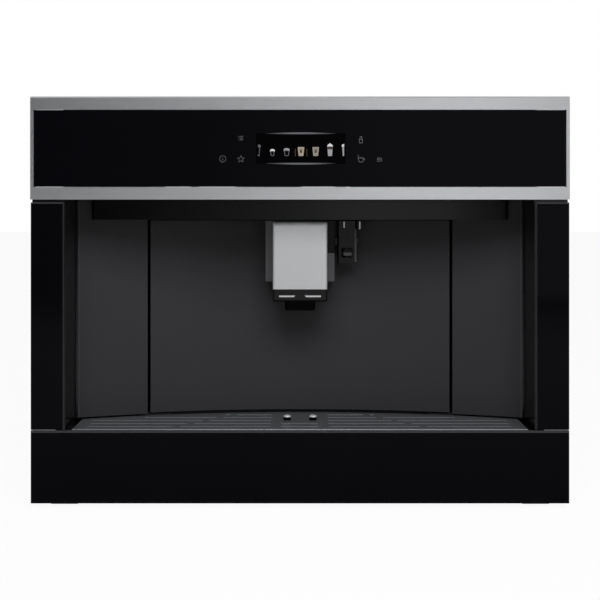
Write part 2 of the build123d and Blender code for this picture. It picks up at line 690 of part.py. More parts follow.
with BuildPart() as service_door:
    wall_band((-DOOR_HALF, DOOR_HALF), (0, WALL_SKIN), (DOOR_LOW_Z, DOOR_TOP_Z))
    rim_far = WALL_SKIN + DOOR_RIM_DEPTH
    wall_band((-RIM_HALF, RIM_HALF), (WALL_SKIN, rim_far), RIM_Z)
    pocket_half = RIM_HALF - RIM_WALL
    pocket_z = (RIM_Z[0], RIM_Z[1] - RIM_WALL)
    wall_band((-pocket_half, pocket_half), (WALL_SKIN, rim_far), pocket_z, Mode.SUBTRACT)
    for rib_x in (-pocket_half / 2, 0, pocket_half / 2):
        wall_band((rib_x - 1, rib_x + 1), (WALL_SKIN, rim_far - 3), pocket_z)
    for share in (0.33, 0.67):
        rib_z = pocket_z[0] + share * (pocket_z[1] - pocket_z[0])
        wall_band((-pocket_half, pocket_half), (WALL_SKIN, rim_far - 6), (rib_z, rib_z + 2))
    for knuckle_z in (DOOR_LOW_Z, DOOR_TOP_Z - KNUCKLE_HEIGHT):
        post(HINGE_X, HINGE_Y, (knuckle_z, knuckle_z + KNUCKLE_HEIGHT), KNUCKLE_DIAMETER)
    for bore_z in (DOOR_LOW_Z, DOOR_TOP_Z - PIN_LENGTH - 1):
        bore_span = (bore_z, bore_z + PIN_LENGTH + 1)
        post(HINGE_X, HINGE_Y, bore_span, PIN_DIAMETER + 2 * PIN_FIT, Mode.SUBTRACT)
write(service_door, "service_door")

with BuildPart() as door_pins:
    pin_top_z = DOOR_LOW_Z + PIN_LENGTH
    pin_low_z = DOOR_TOP_Z - PIN_LENGTH
    post(HINGE_X, HINGE_Y, (BAY_FLOOR_Z, pin_top_z), PIN_DIAMETER)
    post(HINGE_X, HINGE_Y, (BAY_FLOOR_Z, DOOR_LOW_Z - 0.2), 2 * PIN_DIAMETER)
    post(HINGE_X, HINGE_Y, (pin_low_z, BAY_TOP_Z), PIN_DIAMETER)
    post(HINGE_X, HINGE_Y, (DOOR_TOP_Z + 0.2, BAY_TOP_Z), 2 * PIN_DIAMETER)
write(door_pins, "door_pins")

# ---- the carrier on the door, the coffee spout and the hot-water spout ----
SPOUT_HALF = SPOUT_WIDTH / 2
SPOUT_TOP_Z = BAR_Z - SPOUT_TOP_GAP
SPOUT_LOW_Z = SPOUT_TOP_Z - SPOUT_FACE_HEIGHT
SPOUT_Y = FRONT_Y + SPOUT_DEPTH
SPOUT_REAR_Y = FRONT_Y + SPOUT_REAR_DEPTH
CARRIER_HALF = CARRIER_WIDTH / 2
CARRIER_Z = (DOOR_TOP_Z - CARRIER_HEIGHT, DOOR_TOP_Z)
CARRIER_Y = FRONT_Y + CARRIER_DEPTH
TONGUE_REAR_Y = wall_y(TONGUE_WIDTH / 2) - 2.3
WATER_HALF = WATER_WIDTH / 2
WATER_Z = (DOOR_TOP_Z - WATER_HEIGHT, DOOR_TOP_Z - 0.5)
WATER_BLOCK_Z = WATER_Z[1] - WATER_BLOCK
PLUG_Z = (WATER_BLOCK_Z + WATER_Z[1]) / 2
DOCK_PLATE = 4.0
HORN_AIR = 1.0
HORN_WIDTH = 5.2
HORN_HEIGHT = 12.0
WATER_REAR_Y = wall_y(WATER_X + WATER_HALF) - DOCK_PLATE - SLIDE_AIR
PLUG_FRONT_Y = FRONT_Y + WATER_DEPTH + 9

with BuildPart() as spout_carrier:
    wall_band((-CARRIER_HALF, CARRIER_HALF), (-CARRIER_BACK, 0), CARRIER_Z)
    for s in (-1, 1):
        cheek_x = (s * (SPOUT_HALF + SLIDE_AIR), s * CARRIER_HALF)
        block(cheek_x, (CARRIER_Y, wall_y(CARRIER_HALF) - CARRIER_BACK / 2), CARRIER_Z)
    groove_half = TONGUE_WIDTH / 2 + SLIDE_AIR
    groove_y = (FRONT_Y + NICHE_DEPTH - 2 * CARRIER_BACK, TONGUE_REAR_Y + SLIDE_AIR)
    block((-groove_half, groove_half), groove_y, CARRIER_Z, Mode.SUBTRACT)
    horn_x = (WATER_X + WATER_HALF + HORN_AIR, WATER_X + WATER_HALF + HORN_AIR + HORN_WIDTH)
    dock_x = (CARRIER_HALF - 1, WATER_X + WATER_HALF)
    wall_band(dock_x, (-DOCK_PLATE, 0), (WATER_BLOCK_Z, DOOR_TOP_Z))
    horn_z = (DOOR_TOP_Z - HORN_HEIGHT, DOOR_TOP_Z)
    wall_band((WATER_X, horn_x[1]), (-DOCK_PLATE, 0), horn_z)
    block(horn_x, (FRONT_Y + WATER_DEPTH, wall_y(horn_x[1]) - DOCK_PLATE / 2), horn_z)
    with BuildSketch(front(PLUG_FRONT_Y)):
        with Locations((WATER_X, PLUG_Z)):
            Circle(WATER_PLUG / 2)
    extrude(amount=-(wall_y(WATER_X) - DOCK_PLATE / 2 - PLUG_FRONT_Y))
    with BuildSketch(front(PLUG_FRONT_Y)):
        with Locations((WATER_X, PLUG_Z)):
            Circle(WATER_PLUG / 4)
    extrude(amount=-10, mode=Mode.SUBTRACT)
write(spout_carrier, "spout_carrier")

COVER_REAR_Y = SPOUT_Y + 45.0

COVER_CORNER = 2.5

with BuildPart() as cover_hollow:
    inner_half = SPOUT_HALF - SPOUT_SHEET
    inner_y = (SPOUT_Y + SPOUT_SHEET, COVER_REAR_Y + 4 * COVER_CORNER)
    inner_z = (SPOUT_LOW_Z, SPOUT_TOP_Z - SPOUT_SHEET)
    round_block((-inner_half, inner_half), inner_y, inner_z, COVER_CORNER - SPOUT_SHEET)
    round_over(inner_y[0], inner_z[1], SPOUT_CROWN - SPOUT_SHEET, inner_half)

with BuildPart() as spout_cover:
    cover_y = (SPOUT_Y, COVER_REAR_Y + 2 * COVER_CORNER)
    cover_z = (SPOUT_LOW_Z, SPOUT_TOP_Z)
    round_block((-SPOUT_HALF, SPOUT_HALF), cover_y, cover_z, COVER_CORNER)
    round_over(SPOUT_Y, SPOUT_TOP_Z, SPOUT_CROWN, SPOUT_HALF)
    add(cover_hollow.part, mode=Mode.SUBTRACT)
    block((-SPOUT_HALF, SPOUT_HALF), (COVER_REAR_Y, cover_y[1]), cover_z, Mode.SUBTRACT)
write(spout_cover, "spout_cover")

CHIN_Z = SPOUT_LOW_Z - SPOUT_CHIN
NOZZLE_Z = CHIN_Z - NOZZLE_HEIGHT
DASH_X = 14.5
DASH_WIDTH = 19.0
DASH_HEIGHT = 2.4

with BuildPart() as spout_body:
    core_half = SPOUT_HALF - SPOUT_SHEET - 0.2
    core_gap = SPOUT_SHEET + 0.2
    core_y = (SPOUT_Y + core_gap, SPOUT_REAR_Y)
    core_top_z = SPOUT_TOP_Z - core_gap
    round_block((-core_half, core_half), core_y, (CHIN_Z, core_top_z), 1.5)
    round_over(core_y[0], core_top_z, SPOUT_CROWN - core_gap, core_half)
    chin_y = (SPOUT_Y + 0.3, COVER_REAR_Y)
    round_block((-SPOUT_HALF, SPOUT_HALF), chin_y, (CHIN_Z, SPOUT_LOW_Z - 0.2), 2.5)
    chamfer(spout_body.faces().sort_by(Axis.Z)[0].edges(), 1.0)
    nozzle_y = (FRONT_Y + NOZZLE_DEPTH, FRONT_Y + NOZZLE_DEPTH + NOZZLE_LENGTH)
    nozzle_half = NOZZLE_WIDTH / 2
    round_block((-nozzle_half, nozzle_half), nozzle_y, (NOZZLE_Z, CHIN_Z), 5)
    chamfer(spout_body.faces().sort_by(Axis.Z)[0].edges(), 1.5)
    groove_x = (-0.6, 0.6)
    block(groove_x, (nozzle_y[0], nozzle_y[0] + 1.5), (NOZZLE_Z, CHIN_Z), Mode.SUBTRACT)
    for s in (-1, 1):
        outlet_span = (NOZZLE_Z, CHIN_Z + 6)
        post(s * OUTLET_X, FRONT_Y + OUTLET_DEPTH, outlet_span, OUTLET_BORE, Mode.SUBTRACT)
    tongue_half = TONGUE_WIDTH / 2
    block(
        (-tongue_half, tongue_half),
        (SPOUT_REAR_Y, TONGUE_REAR_Y),
        (CHIN_Z, SPOUT_TOP_Z - 0.5),
    )
    dash_z = (CHIN_Z + SPOUT_LOW_Z) / 2 - 1.0
    with BuildSketch(front(chin_y[0])):
        with Locations((-DASH_X, dash_z), (DASH_X, dash_z)):
            RectangleRounded(DASH_WIDTH, DASH_HEIGHT, 0.8)
    extrude(amount=-0.8, mode=Mode.SUBTRACT)
write(spout_body, "spout_body")

BUTTON_Z = PLUG_Z - BUTTON_DROP
BUTTON_Y = FRONT_Y + WATER_DEPTH + 11
POCKET_DEPTH = 5.0

with BuildPart() as hot_water_spout:
    water_x = (WATER_X - WATER_HALF, WATER_X + WATER_HALF)
    water_y = FRONT_Y + WATER_DEPTH
    round_block(water_x, (water_y, WATER_REAR_Y), (WATER_BLOCK_Z, WATER_Z[1]), 2)
    frame_y = (water_y, water_y + 12)
    round_block(water_x, frame_y, (WATER_Z[0], WATER_BLOCK_Z + 1), 2)
    leg_x = (water_x[0] + WATER_LEG, water_x[1] - WATER_LEG)
    slab(
        front(frame_y[0]),
        leg_x,
        (WATER_Z[0] + WATER_BAR, WATER_BLOCK_Z),
        -(frame_y[1] - frame_y[0]),
        1.5,
        Mode.SUBTRACT,
    )
    tube_y = water_y + 6
    post(WATER_X, tube_y, (WATER_Z[0], WATER_BLOCK_Z + 2), WATER_TUBE)
    post(WATER_X, tube_y, (WATER_Z[0], WATER_BLOCK_Z), WATER_TUBE / 2, Mode.SUBTRACT)
    slit_x = (WATER_X - WATER_SLIT / 2, WATER_X + WATER_SLIT / 2)
    slit_z = (WATER_BLOCK_Z, WATER_Z[1] - HORN_HEIGHT)
    block(slit_x, (water_y, water_y + WATER_SLIT), slit_z, Mode.SUBTRACT)
    block(
        (leg_x[0], slit_x[0]), (water_y, water_y + WATER_SLIT / 2), slit_z, Mode.SUBTRACT
    )
    with BuildSketch(front(WATER_REAR_Y)):
        with Locations((WATER_X, PLUG_Z)):
            Circle(WATER_PLUG / 2 + SLIDE_AIR)
    extrude(amount=WATER_REAR_Y - PLUG_FRONT_Y + SLIDE_AIR, mode=Mode.SUBTRACT)
    for s in (-1, 1):
        pocket_x = (WATER_X + s * WATER_HALF, WATER_X + s * (WATER_HALF - POCKET_DEPTH))
        pocket_y = BUTTON_DEPTH / 2 + SLIDE_AIR
        pocket_z = BUTTON_HEIGHT / 2 + SLIDE_AIR
        block(
            pocket_x,
            (BUTTON_Y - pocket_y, BUTTON_Y + pocket_y),
            (BUTTON_Z - pocket_z, BUTTON_Z + pocket_z),
            Mode.SUBTRACT,
        )
write(hot_water_spout, "hot_water_spout")

for word, hand in SIDES:
    with BuildPart() as release_button:
        inner_x = WATER_X + hand * (WATER_HALF - POCKET_DEPTH + BUTTON_TRAVEL + SLIDE_AIR)
        outer_x = WATER_X + hand * (WATER_HALF + BUTTON_PROUD)
        slab(
            side(min(inner_x, outer_x)),
            (BUTTON_Y - BUTTON_DEPTH / 2, BUTTON_Y + BUTTON_DEPTH / 2),
            (BUTTON_Z - BUTTON_HEIGHT / 2, BUTTON_Z + BUTTON_HEIGHT / 2),
            abs(outer_x - inner_x),
            1.0,
        )
        press_face = release_button.faces().sort_by(Axis.X)[-1 if hand > 0 else 0]
        fillet(press_face.edges(), 0.8)
    write(release_button, "release_button_" + word)

# ---- the drawer: its front, drip tray, grounds container, float and the cup grid ----
DRAWER_FRONT_Y = (FRONT_Y + GLASS, TRAY_FRONT_Y)
DRAWER_FRONT_HALF = GLASS_HALF - 6.0
DRAWER_FRONT_Z = (SHELF_GAP + 3.0, TRAY_TOP_Z)
TRAY_REAR_Y = BAY_REAR_Y - 10.0
TRAY_FLOOR_TOP_Z = TRAY_FLOOR_Z + TRAY_WALL
RIM_SHEET = 1.5
RIM_OUT = 3.5
DIVIDER_Y = wall_y(0) - GRID_REAR_GAP  # rear face of the wall between the tray's two basins
TONGUE_OUT = 9.5
RUNNER_WALL = 2.5

with BuildPart() as drawer_front:
    front_span = (-DRAWER_FRONT_HALF, DRAWER_FRONT_HALF)
    slab(front(DRAWER_FRONT_Y[0]), front_span, DRAWER_FRONT_Z, -DRAWER_FRONT_DEPTH, 3)
    slab(
        front(DRAWER_FRONT_Y[0] + PLASTIC),
        (-DRAWER_FRONT_HALF + PLASTIC, DRAWER_FRONT_HALF - PLASTIC),
        (DRAWER_FRONT_Z[0] + PLASTIC, DRAWER_FRONT_Z[1] - PLASTIC),
        -(DRAWER_FRONT_DEPTH - PLASTIC),
        1,
        Mode.SUBTRACT,
    )
    for rib_x in (-240, -160, -80, 0, 80, 160, 240):
        block((rib_x - 1, rib_x + 1), DRAWER_FRONT_Y, DRAWER_FRONT_Z)
    ledge_y = (DRAWER_FRONT_Y[0], DRAWER_FRONT_Y[0] + PLASTIC)
    for s in (-1, 1):
        ledge_x = (s * NICHE_HALF, s * BACKING_X)
        block(ledge_x, ledge_y, (TRAY_TOP_Z - PLASTIC, PANEL_TOP_Z - SLIT))
write(drawer_front, "drawer_front")

with BuildPart() as drip_tray:
    tray_x = (-TRAY_HALF, TRAY_HALF)
    tray_y = (TRAY_FRONT_Y, TRAY_REAR_Y)
    round_block(tray_x, tray_y, (TRAY_FLOOR_Z, TRAY_TOP_Z), 14)
    fillet(drip_tray.faces().sort_by(Axis.Z)[0].edges(), 5)
    offset(amount=-TRAY_WALL, openings=drip_tray.faces().sort_by(Axis.Z)[-1])
    rim_x = (-TRAY_HALF - RIM_OUT, TRAY_HALF + RIM_OUT)
    rim_y = (TRAY_FRONT_Y, TRAY_REAR_Y + 2)
    rim_z = (TRAY_TOP_Z - RIM_SHEET, TRAY_TOP_Z)
    hollow_x = (-TRAY_HALF + TRAY_WALL, TRAY_HALF - TRAY_WALL)
    hollow_y = (TRAY_FRONT_Y + TRAY_WALL, TRAY_REAR_Y - TRAY_WALL)
    with BuildSketch(plan(rim_z[0])):
        with Locations((0, sum(rim_y) / 2)):
            RectangleRounded(rim_x[1] - rim_x[0], rim_y[1] - rim_y[0], 6)
        with Locations((0, sum(hollow_y) / 2)):
            RectangleRounded(
                hollow_x[1] - hollow_x[0], hollow_y[1] - hollow_y[0], 11.5, mode=Mode.SUBTRACT
            )
    extrude(amount=RIM_SHEET)
    block(hollow_x, (DIVIDER_Y - TRAY_WALL, DIVIDER_Y), (TRAY_FLOOR_Z + 1, TRAY_TOP_Z))
    for s in (-1, 1):
        tongue_x = (s * (TRAY_HALF - 1), s * (TRAY_HALF + TONGUE_OUT))
        tongue_y = (TRAY_FRONT_Y + 16, TRAY_REAR_Y - 16)
        tongue_z = (RUNNER_Z - TONGUE_HEIGHT / 2, RUNNER_Z + TONGUE_HEIGHT / 2)
        block(tongue_x, tongue_y, tongue_z)
    float_y = (TRAY_FRONT_Y + wall_y(FLOAT_X)) / 2
    post(FLOAT_X, float_y, (TRAY_FLOOR_Z + 1, TRAY_FLOOR_TOP_Z + 24), 4)
write(drip_tray, "drip_tray")

with BuildPart() as drawer_runners:
    for s in (-1, 1):
        runner_x = (s * (TRAY_HALF + 1.5), s * INNER_HALF)
        runner_y = (BODY_FRONT_Y + 3, BAY_REAR_Y)
        runner_half = TONGUE_HEIGHT / 2 + SLIDE_AIR + RUNNER_WALL
        block(runner_x, runner_y, (RUNNER_Z - runner_half, RUNNER_Z + runner_half))
        slot_x = (s * (TRAY_HALF + 1.5), s * (TRAY_HALF + TONGUE_OUT + SLIDE_AIR))
        slot_half = TONGUE_HEIGHT / 2 + SLIDE_AIR
        block(slot_x, runner_y, (RUNNER_Z - slot_half, RUNNER_Z + slot_half), Mode.SUBTRACT)
write(drawer_runners, "drawer_runners")

CONTAINER_X = (BREW_X - CONTAINER_WIDTH / 2, BREW_X + CONTAINER_WIDTH / 2)
CONTAINER_Y = (wall_y(0) + 6, TRAY_REAR_Y - TRAY_WALL - 3)
CONTAINER_TOP_Z = TRAY_TOP_Z - 3.0

with BuildPart() as grounds_container:
    round_block(CONTAINER_X, CONTAINER_Y, (TRAY_FLOOR_TOP_Z, CONTAINER_TOP_Z), 12)
    fillet(grounds_container.faces().sort_by(Axis.Z)[0].edges(), 5)
    offset(amount=-CONTAINER_WALL, openings=grounds_container.faces().sort_by(Axis.Z)[-1])
    with BuildSketch(front(CONTAINER_Y[0])):
        with Locations((BREW_X, CONTAINER_TOP_Z)):
            SlotOverall(60, 20)
    extrude(amount=-4, mode=Mode.SUBTRACT)
write(grounds_container, "grounds_container")

with BuildPart() as tray_float:
    float_y = (TRAY_FRONT_Y + wall_y(FLOAT_X)) / 2
    post(FLOAT_X, float_y, (TRAY_FLOOR_TOP_Z, TRAY_FLOOR_TOP_Z + 12), FLOAT_DIAMETER)
    stem_top_z = TRAY_TOP_Z - FLOAT_TRAVEL - 1
    post(FLOAT_X, float_y, (TRAY_FLOOR_TOP_Z, stem_top_z), 9)
    post(FLOAT_X, float_y, (TRAY_FLOOR_TOP_Z, stem_top_z - 2), 4 + 2 * SLIDE_AIR, Mode.SUBTRACT)
    chamfer(tray_float.faces().sort_by(Axis.Z)[-1].edges(), 1)
write(tray_float, "tray_float")

GRID_HALF = NICHE_HALF - GRID_SIDE_GAP
GRID_FRONT_Y = FRONT_Y + GRID_FRONT_DEPTH
SLOT_END_RADIUS = WALL_RADIUS - GRID_REAR_GAP - SLOT_MARGIN


def slot_reach(y):
    """How far a row of slots at y may run to the side."""
    to_wall = sqrt(SLOT_END_RADIUS**2 - (y - WALL_CENTRE_Y) ** 2)
    return min(to_wall, GRID_HALF - SLOT_MARGIN)


def grid_outline(inset):
    """The grid's outline in plan, drawn that far inside its edge."""
    half = GRID_HALF - inset
    front_y = GRID_FRONT_Y + inset
    rear = ThreePointArc(
        *[(x, wall_y(x, -GRID_REAR_GAP - inset)) for x in (-half, 0, half)]
    )
    Polyline(rear @ 0, (-half, front_y), (half, front_y), rear @ 1)


with BuildPart() as cup_grid:
    with BuildSketch(plan(TRAY_TOP_Z)):
        with BuildLine():
            grid_outline(0)
        make_face()
    extrude(amount=GRID_Z - TRAY_TOP_Z)
    top_edges = cup_grid.faces().sort_by(Axis.Z)[-1].edges().sort_by(Axis.Y)
    fillet(top_edges[:-1], GRID_SHEET - 0.2)
    with BuildSketch(plan(TRAY_TOP_Z)):
        with BuildLine():
            grid_outline(GRID_SHEET)
        make_face()
    extrude(amount=GRID_Z - GRID_SHEET - TRAY_TOP_Z, mode=Mode.SUBTRACT)
    with BuildSketch(plan(GRID_Z)) as openings:
        for row in range(SLOT_ROWS):
            row_y = GRID_FRONT_Y + SLOT_FIRST_DEPTH + row * SLOT_PITCH
            bridge_x = BRIDGE_FIRST_X - row * BRIDGE_STEP
            reach = slot_reach(row_y)
            spans = (
                (SLOT_MIDDLE / 2, bridge_x - SLOT_BRIDGE / 2),
                (bridge_x + SLOT_BRIDGE / 2, reach),
            )
            for s in (-1, 1):
                for near_x, far_x in spans:
                    with Locations((s * (near_x + far_x) / 2, row_y)):
                        SlotOverall(far_x - near_x, SLOT_WIDTH)
            if row < SHORT_SLOT_ROWS:
                with Locations((0, row_y)):
                    SlotOverall(SHORT_SLOT, SLOT_WIDTH)
    extrude(amount=-GRID_SHEET, mode=Mode.SUBTRACT)
    neck_top_z = GRID_Z + DOME_NECK[1]
    dome_y = FRONT_Y + DOME_DEPTH
    for s in (-1, 1):
        post(s * DOME_X, dome_y, (GRID_Z - GRID_SHEET, neck_top_z), DOME_NECK[0])
        post(s * DOME_X, dome_y, (neck_top_z, neck_top_z + DOME_CAP[1]), DOME_CAP[0])
    fillet(cup_grid.faces().sort_by(Axis.Z)[-2:].edges(), DOME_CAP[1] - 0.2)
write(cup_grid, "cup_grid")

# ---- the bay behind the door and the brew unit in it ----
BAY_Z = (BAY_FLOOR_Z, BAY_TOP_Z)
BAY_MOUTH = WALL_SKIN + REVEAL
FLOOR_BACK = 5.0  # floor's front edge behind the walls'
CHUTE_HALF = (BREW_WIDTH / 2 - 16, BREW_DEPTH / 2 - 20)
DUCT_OUTER = DUCT_BORE + 2 * DUCT_WALL

with BuildPart() as service_bay:
    outer_y = (wall_y(BAY_HALF) - 4, BAY_REAR_Y)
    block((-BAY_HALF, BAY_HALF), outer_y, (BAY_Z[0] - PLASTIC, BAY_Z[1] + BAY_WALL))
    inner_x = (-BAY_HALF + BAY_WALL, BAY_HALF - BAY_WALL)
    block(inner_x, (outer_y[0], BAY_REAR_Y - BAY_WALL), BAY_Z, Mode.SUBTRACT)
    mouth_z = (BAY_Z[0] - 2 * PLASTIC, BAY_Z[1] + 2 * BAY_WALL)
    wall_band((-BAY_HALF - 1, BAY_HALF + 1), (-60, BAY_MOUTH), mouth_z, Mode.SUBTRACT)
    floor_z = (BAY_Z[0] - PLASTIC, BAY_Z[0])
    floor_half = abs(HINGE_X) - 2 * KNUCKLE_DIAMETER
    floor_cut = (0, BAY_MOUTH + FLOOR_BACK)
    wall_band((-floor_half, floor_half), floor_cut, floor_z, Mode.SUBTRACT)
    chute_x = (BREW_X - CHUTE_HALF[0], BREW_X + CHUTE_HALF[0])
    chute_y = (BREW_Y - CHUTE_HALF[1], BREW_Y + CHUTE_HALF[1])
    round_block(chute_x, chute_y, (BAY_Z[0] - PLASTIC, BAY_Z[0]), 6, Mode.SUBTRACT)
    post(BREW_X, BREW_Y, (BAY_Z[1], BAY_Z[1] + BAY_WALL), DUCT_OUTER + 0.6, Mode.SUBTRACT)
    for s in (-1, 1):
        leg_x = (s * BAY_HALF, s * (BAY_HALF - 24))
        block(leg_x, (BAY_REAR_Y - 4, BAY_REAR_Y), (PAN_TOP_Z, BAY_Z[0]))
write(service_bay, "service_bay")

BREW_HALF = BREW_WIDTH / 2
CHEEK = 4.0
CHAMBER_OUTER = CHAMBER_BORE + 2 * CHAMBER_WALL
SHELF_Z = CHAMBER_Z + 20.0
ROD_DIAMETER = 12.0
ROD_GUIDE_Z = CHAMBER_Z - 6.0
GUIDE_THICK = 6.0
ROD_LOW_Z = ROD_GUIDE_Z - GUIDE_THICK - PISTON_TRAVEL - 2.0

with BuildPart() as brew_frame:
    brew_x = (BREW_X - BREW_HALF, BREW_X + BREW_HALF)
    brew_y = (BREW_Y - BREW_DEPTH / 2, BREW_Y + BREW_DEPTH / 2)
    round_block(brew_x, brew_y, (BAY_FLOOR_Z, BAY_FLOOR_Z + 5), 6)
    round_block(brew_x, brew_y, (BREW_TOP_Z - 6, BREW_TOP_Z), 6)
    for s in (-1, 1):
        cheek_x = (BREW_X + s * BREW_HALF, BREW_X + s * (BREW_HALF - CHEEK))
        block(cheek_x, (brew_y[0] + 8, brew_y[1] - 8), (BAY_FLOOR_Z, BREW_TOP_Z))
    shelf_y = (BREW_Y - 34, BREW_Y + 34)
    block(brew_x, shelf_y, (SHELF_Z - 6, SHELF_Z))
    block(brew_x, (BREW_Y - 12, BREW_Y + 12), (ROD_GUIDE_Z - GUIDE_THICK, ROD_GUIDE_Z))
    with BuildSketch(side(brew_x[0])):
        with Locations((BREW_Y, (BAY_FLOOR_Z + ROD_GUIDE_Z) / 2)):
            RectangleRounded(40, 24, 6)
        with Locations((BREW_Y, (SHELF_Z + BREW_TOP_Z) / 2)):
            RectangleRounded(40, 44, 6)
    extrude(amount=BREW_WIDTH, mode=Mode.SUBTRACT)
    round_block(chute_x, chute_y, (BAY_FLOOR_Z, BAY_FLOOR_Z + 5), 6, Mode.SUBTRACT)
    post(BREW_X, BREW_Y, (SHELF_Z - 6, SHELF_Z), CHAMBER_OUTER + 0.6, Mode.SUBTRACT)
    post(BREW_X, BREW_Y, (BREW_TOP_Z - 6, BREW_TOP_Z), DUCT_BORE, Mode.SUBTRACT)
    guide_span = (ROD_GUIDE_Z - GUIDE_THICK, ROD_GUIDE_Z)
    post(BREW_X, BREW_Y, guide_span, ROD_DIAMETER + 2 * PISTON_FIT, Mode.SUBTRACT)
write(brew_frame, "brew_frame")

with BuildPart() as brew_chamber:
    post(BREW_X, BREW_Y, (CHAMBER_Z, CHAMBER_Z + CHAMBER_HEIGHT), CHAMBER_OUTER)
    post(BREW_X, BREW_Y, (SHELF_Z, SHELF_Z + 4), CHAMBER_OUTER + 8)
    post(BREW_X, BREW_Y, (CHAMBER_Z, CHAMBER_Z + CHAMBER_HEIGHT), CHAMBER_BORE, Mode.SUBTRACT)
    chamfer(brew_chamber.edges().filter_by(GeomType.CIRCLE).sort_by(Axis.Z)[-2:], 1.0)
write(brew_chamber, "brew_chamber")

with BuildPart() as brew_piston:
    piston_z = (CHAMBER_Z + 2, CHAMBER_Z + 2 + PISTON_HEIGHT)
    post(BREW_X, BREW_Y, piston_z, CHAMBER_BORE - 2 * PISTON_FIT)
    post(BREW_X, BREW_Y, (ROD_LOW_Z, piston_z[0] + 2), ROD_DIAMETER)
    groove_z = (piston_z[1] - 6, piston_z[1] - 3)
    with BuildSketch(plan(groove_z[0])):
        with Locations((BREW_X, BREW_Y)):
            Circle(CHAMBER_BORE / 2)
            Circle(CHAMBER_BORE / 2 - 2, mode=Mode.SUBTRACT)
    extrude(amount=3, mode=Mode.SUBTRACT)
write(brew_piston, "brew_piston")

with BuildPart() as brew_drive:
    gear_y = (BAY_REAR_Y, BAY_REAR_Y + 26)
    slab(front(gear_y[0]), (BREW_X - 30, BREW_X + 30), (108, 190), -26, 8)
    post(BREW_X, sum(gear_y) / 2 + 4, (190, 246), 34)
    post(BREW_X, sum(gear_y) / 2 + 4, (246, 250), 12)
    for s in (-1, 1):
        slab(
            front(gear_y[0]),
            (BREW_X + s * 28, BREW_X + s * 40),
            (142, 156),
            -4,
        )
write(brew_drive, "brew_drive")

# ---- the grinder and the bean hopper above it ----
CUP_WALL = 5.0
CUP_FLOOR_Z = GRINDER_Z
CUP_TOP_Z = HOPPER_Z - 6.0
BURR_HEIGHT = 20.0
SHAFT = 8.0

with BuildPart() as grinder_housing:
    post(HOPPER_X, HOPPER_Y, (CUP_FLOOR_Z - 6, CUP_TOP_Z), GRINDER_DIAMETER)
    cup_bore = GRINDER_DIAMETER - 2 * CUP_WALL
    throat_bore = HOPPER_THROAT + 2 * SLIDE_AIR
    cap_z = (CUP_TOP_Z - CUP_WALL, CUP_TOP_Z)
    post(HOPPER_X, HOPPER_Y, (CUP_FLOOR_Z, cap_z[0]), cup_bore, Mode.SUBTRACT)
    post(HOPPER_X, HOPPER_Y, cap_z, throat_bore, Mode.SUBTRACT)
    post(HOPPER_X, HOPPER_Y, (CUP_FLOOR_Z - 6, CUP_FLOOR_Z), SHAFT + 4, Mode.SUBTRACT)
    for s in (-1, 1):
        arm_x = (HOPPER_X + s * 22, HOPPER_X + s * 30)
        block(arm_x, (BAY_REAR_Y, HOPPER_Y - 30), (CUP_FLOOR_Z - 6, CUP_FLOOR_Z + 6))
    arm_x = (HOPPER_X - 30, HOPPER_X + 30)
    block(arm_x, (BAY_REAR_Y, BAY_REAR_Y + 4), (CUP_FLOOR_Z - 30, CUP_FLOOR_Z + 6))
write(grinder_housing, "grinder_housing")

with BuildPart() as grinder_burr:
    burr_z = (CUP_FLOOR_Z + 1, CUP_FLOOR_Z + 1 + BURR_HEIGHT)
    with BuildSketch(plan(burr_z[0])):
        with Locations((HOPPER_X, HOPPER_Y)):
            Circle(BURR_DIAMETER / 2)
    extrude(amount=BURR_HEIGHT, taper=20)
    post(HOPPER_X, HOPPER_Y, (CUP_FLOOR_Z - 16, burr_z[0] + 1), SHAFT)
    with BuildSketch(plan(burr_z[0] + 2)):
        with Locations((HOPPER_X, HOPPER_Y)):
            with PolarLocations(BURR_DIAMETER / 2 - 4, 10):
                Rectangle(14, 2)
    extrude(amount=BURR_HEIGHT, mode=Mode.SUBTRACT)
write(grinder_burr, "grinder_burr")

with BuildPart() as grinder_motor:
    motor_top_z = CUP_FLOOR_Z - 6
    post(HOPPER_X, HOPPER_Y, (motor_top_z - MOTOR_HEIGHT, motor_top_z), MOTOR_DIAMETER)
    chamfer(grinder_motor.faces().sort_by(Axis.Z)[0].edges(), 3)
    post(HOPPER_X, HOPPER_Y, (motor_top_z - MOTOR_HEIGHT - 5, motor_top_z - MOTOR_HEIGHT), 20)
    shaft_span = (motor_top_z - 14, motor_top_z)
    post(HOPPER_X, HOPPER_Y, shaft_span, SHAFT + 2 * PIN_FIT, Mode.SUBTRACT)
    with BuildSketch(plan(motor_top_z - 70)):
        with Locations((HOPPER_X, HOPPER_Y)):
            with PolarLocations(MOTOR_DIAMETER / 2, 8):
                Rectangle(3, 8)
    extrude(amount=40, mode=Mode.SUBTRACT)
write(grinder_motor, "grinder_motor")

LID_Z = CASE_TOP_Z + 2.0
HINGE_BARREL = 5.0
HINGE_PIN = 2.6
LID_AXIS_Z = LID_Z + REVEAL + HINGE_BARREL / 2


def lid_ears(x, y, width):
    """Two ears with bores that carry a lid's hinge pin."""
    for s in (-1, 1):
        ear_x = x + s * (width / 2 - 4)
        with BuildSketch(side(ear_x - 2)) as ear:
            with Locations((y, LID_AXIS_Z)):
                Circle(HINGE_BARREL / 2)
            with Locations((y, (LID_AXIS_Z + LID_Z - 1) / 2)):
                Rectangle(HINGE_BARREL, LID_AXIS_Z - LID_Z + 1)
            with Locations((y, LID_AXIS_Z)):
                Circle(HINGE_PIN / 2 + PIN_FIT, mode=Mode.SUBTRACT)
        extrude(ear.sketch, amount=4)


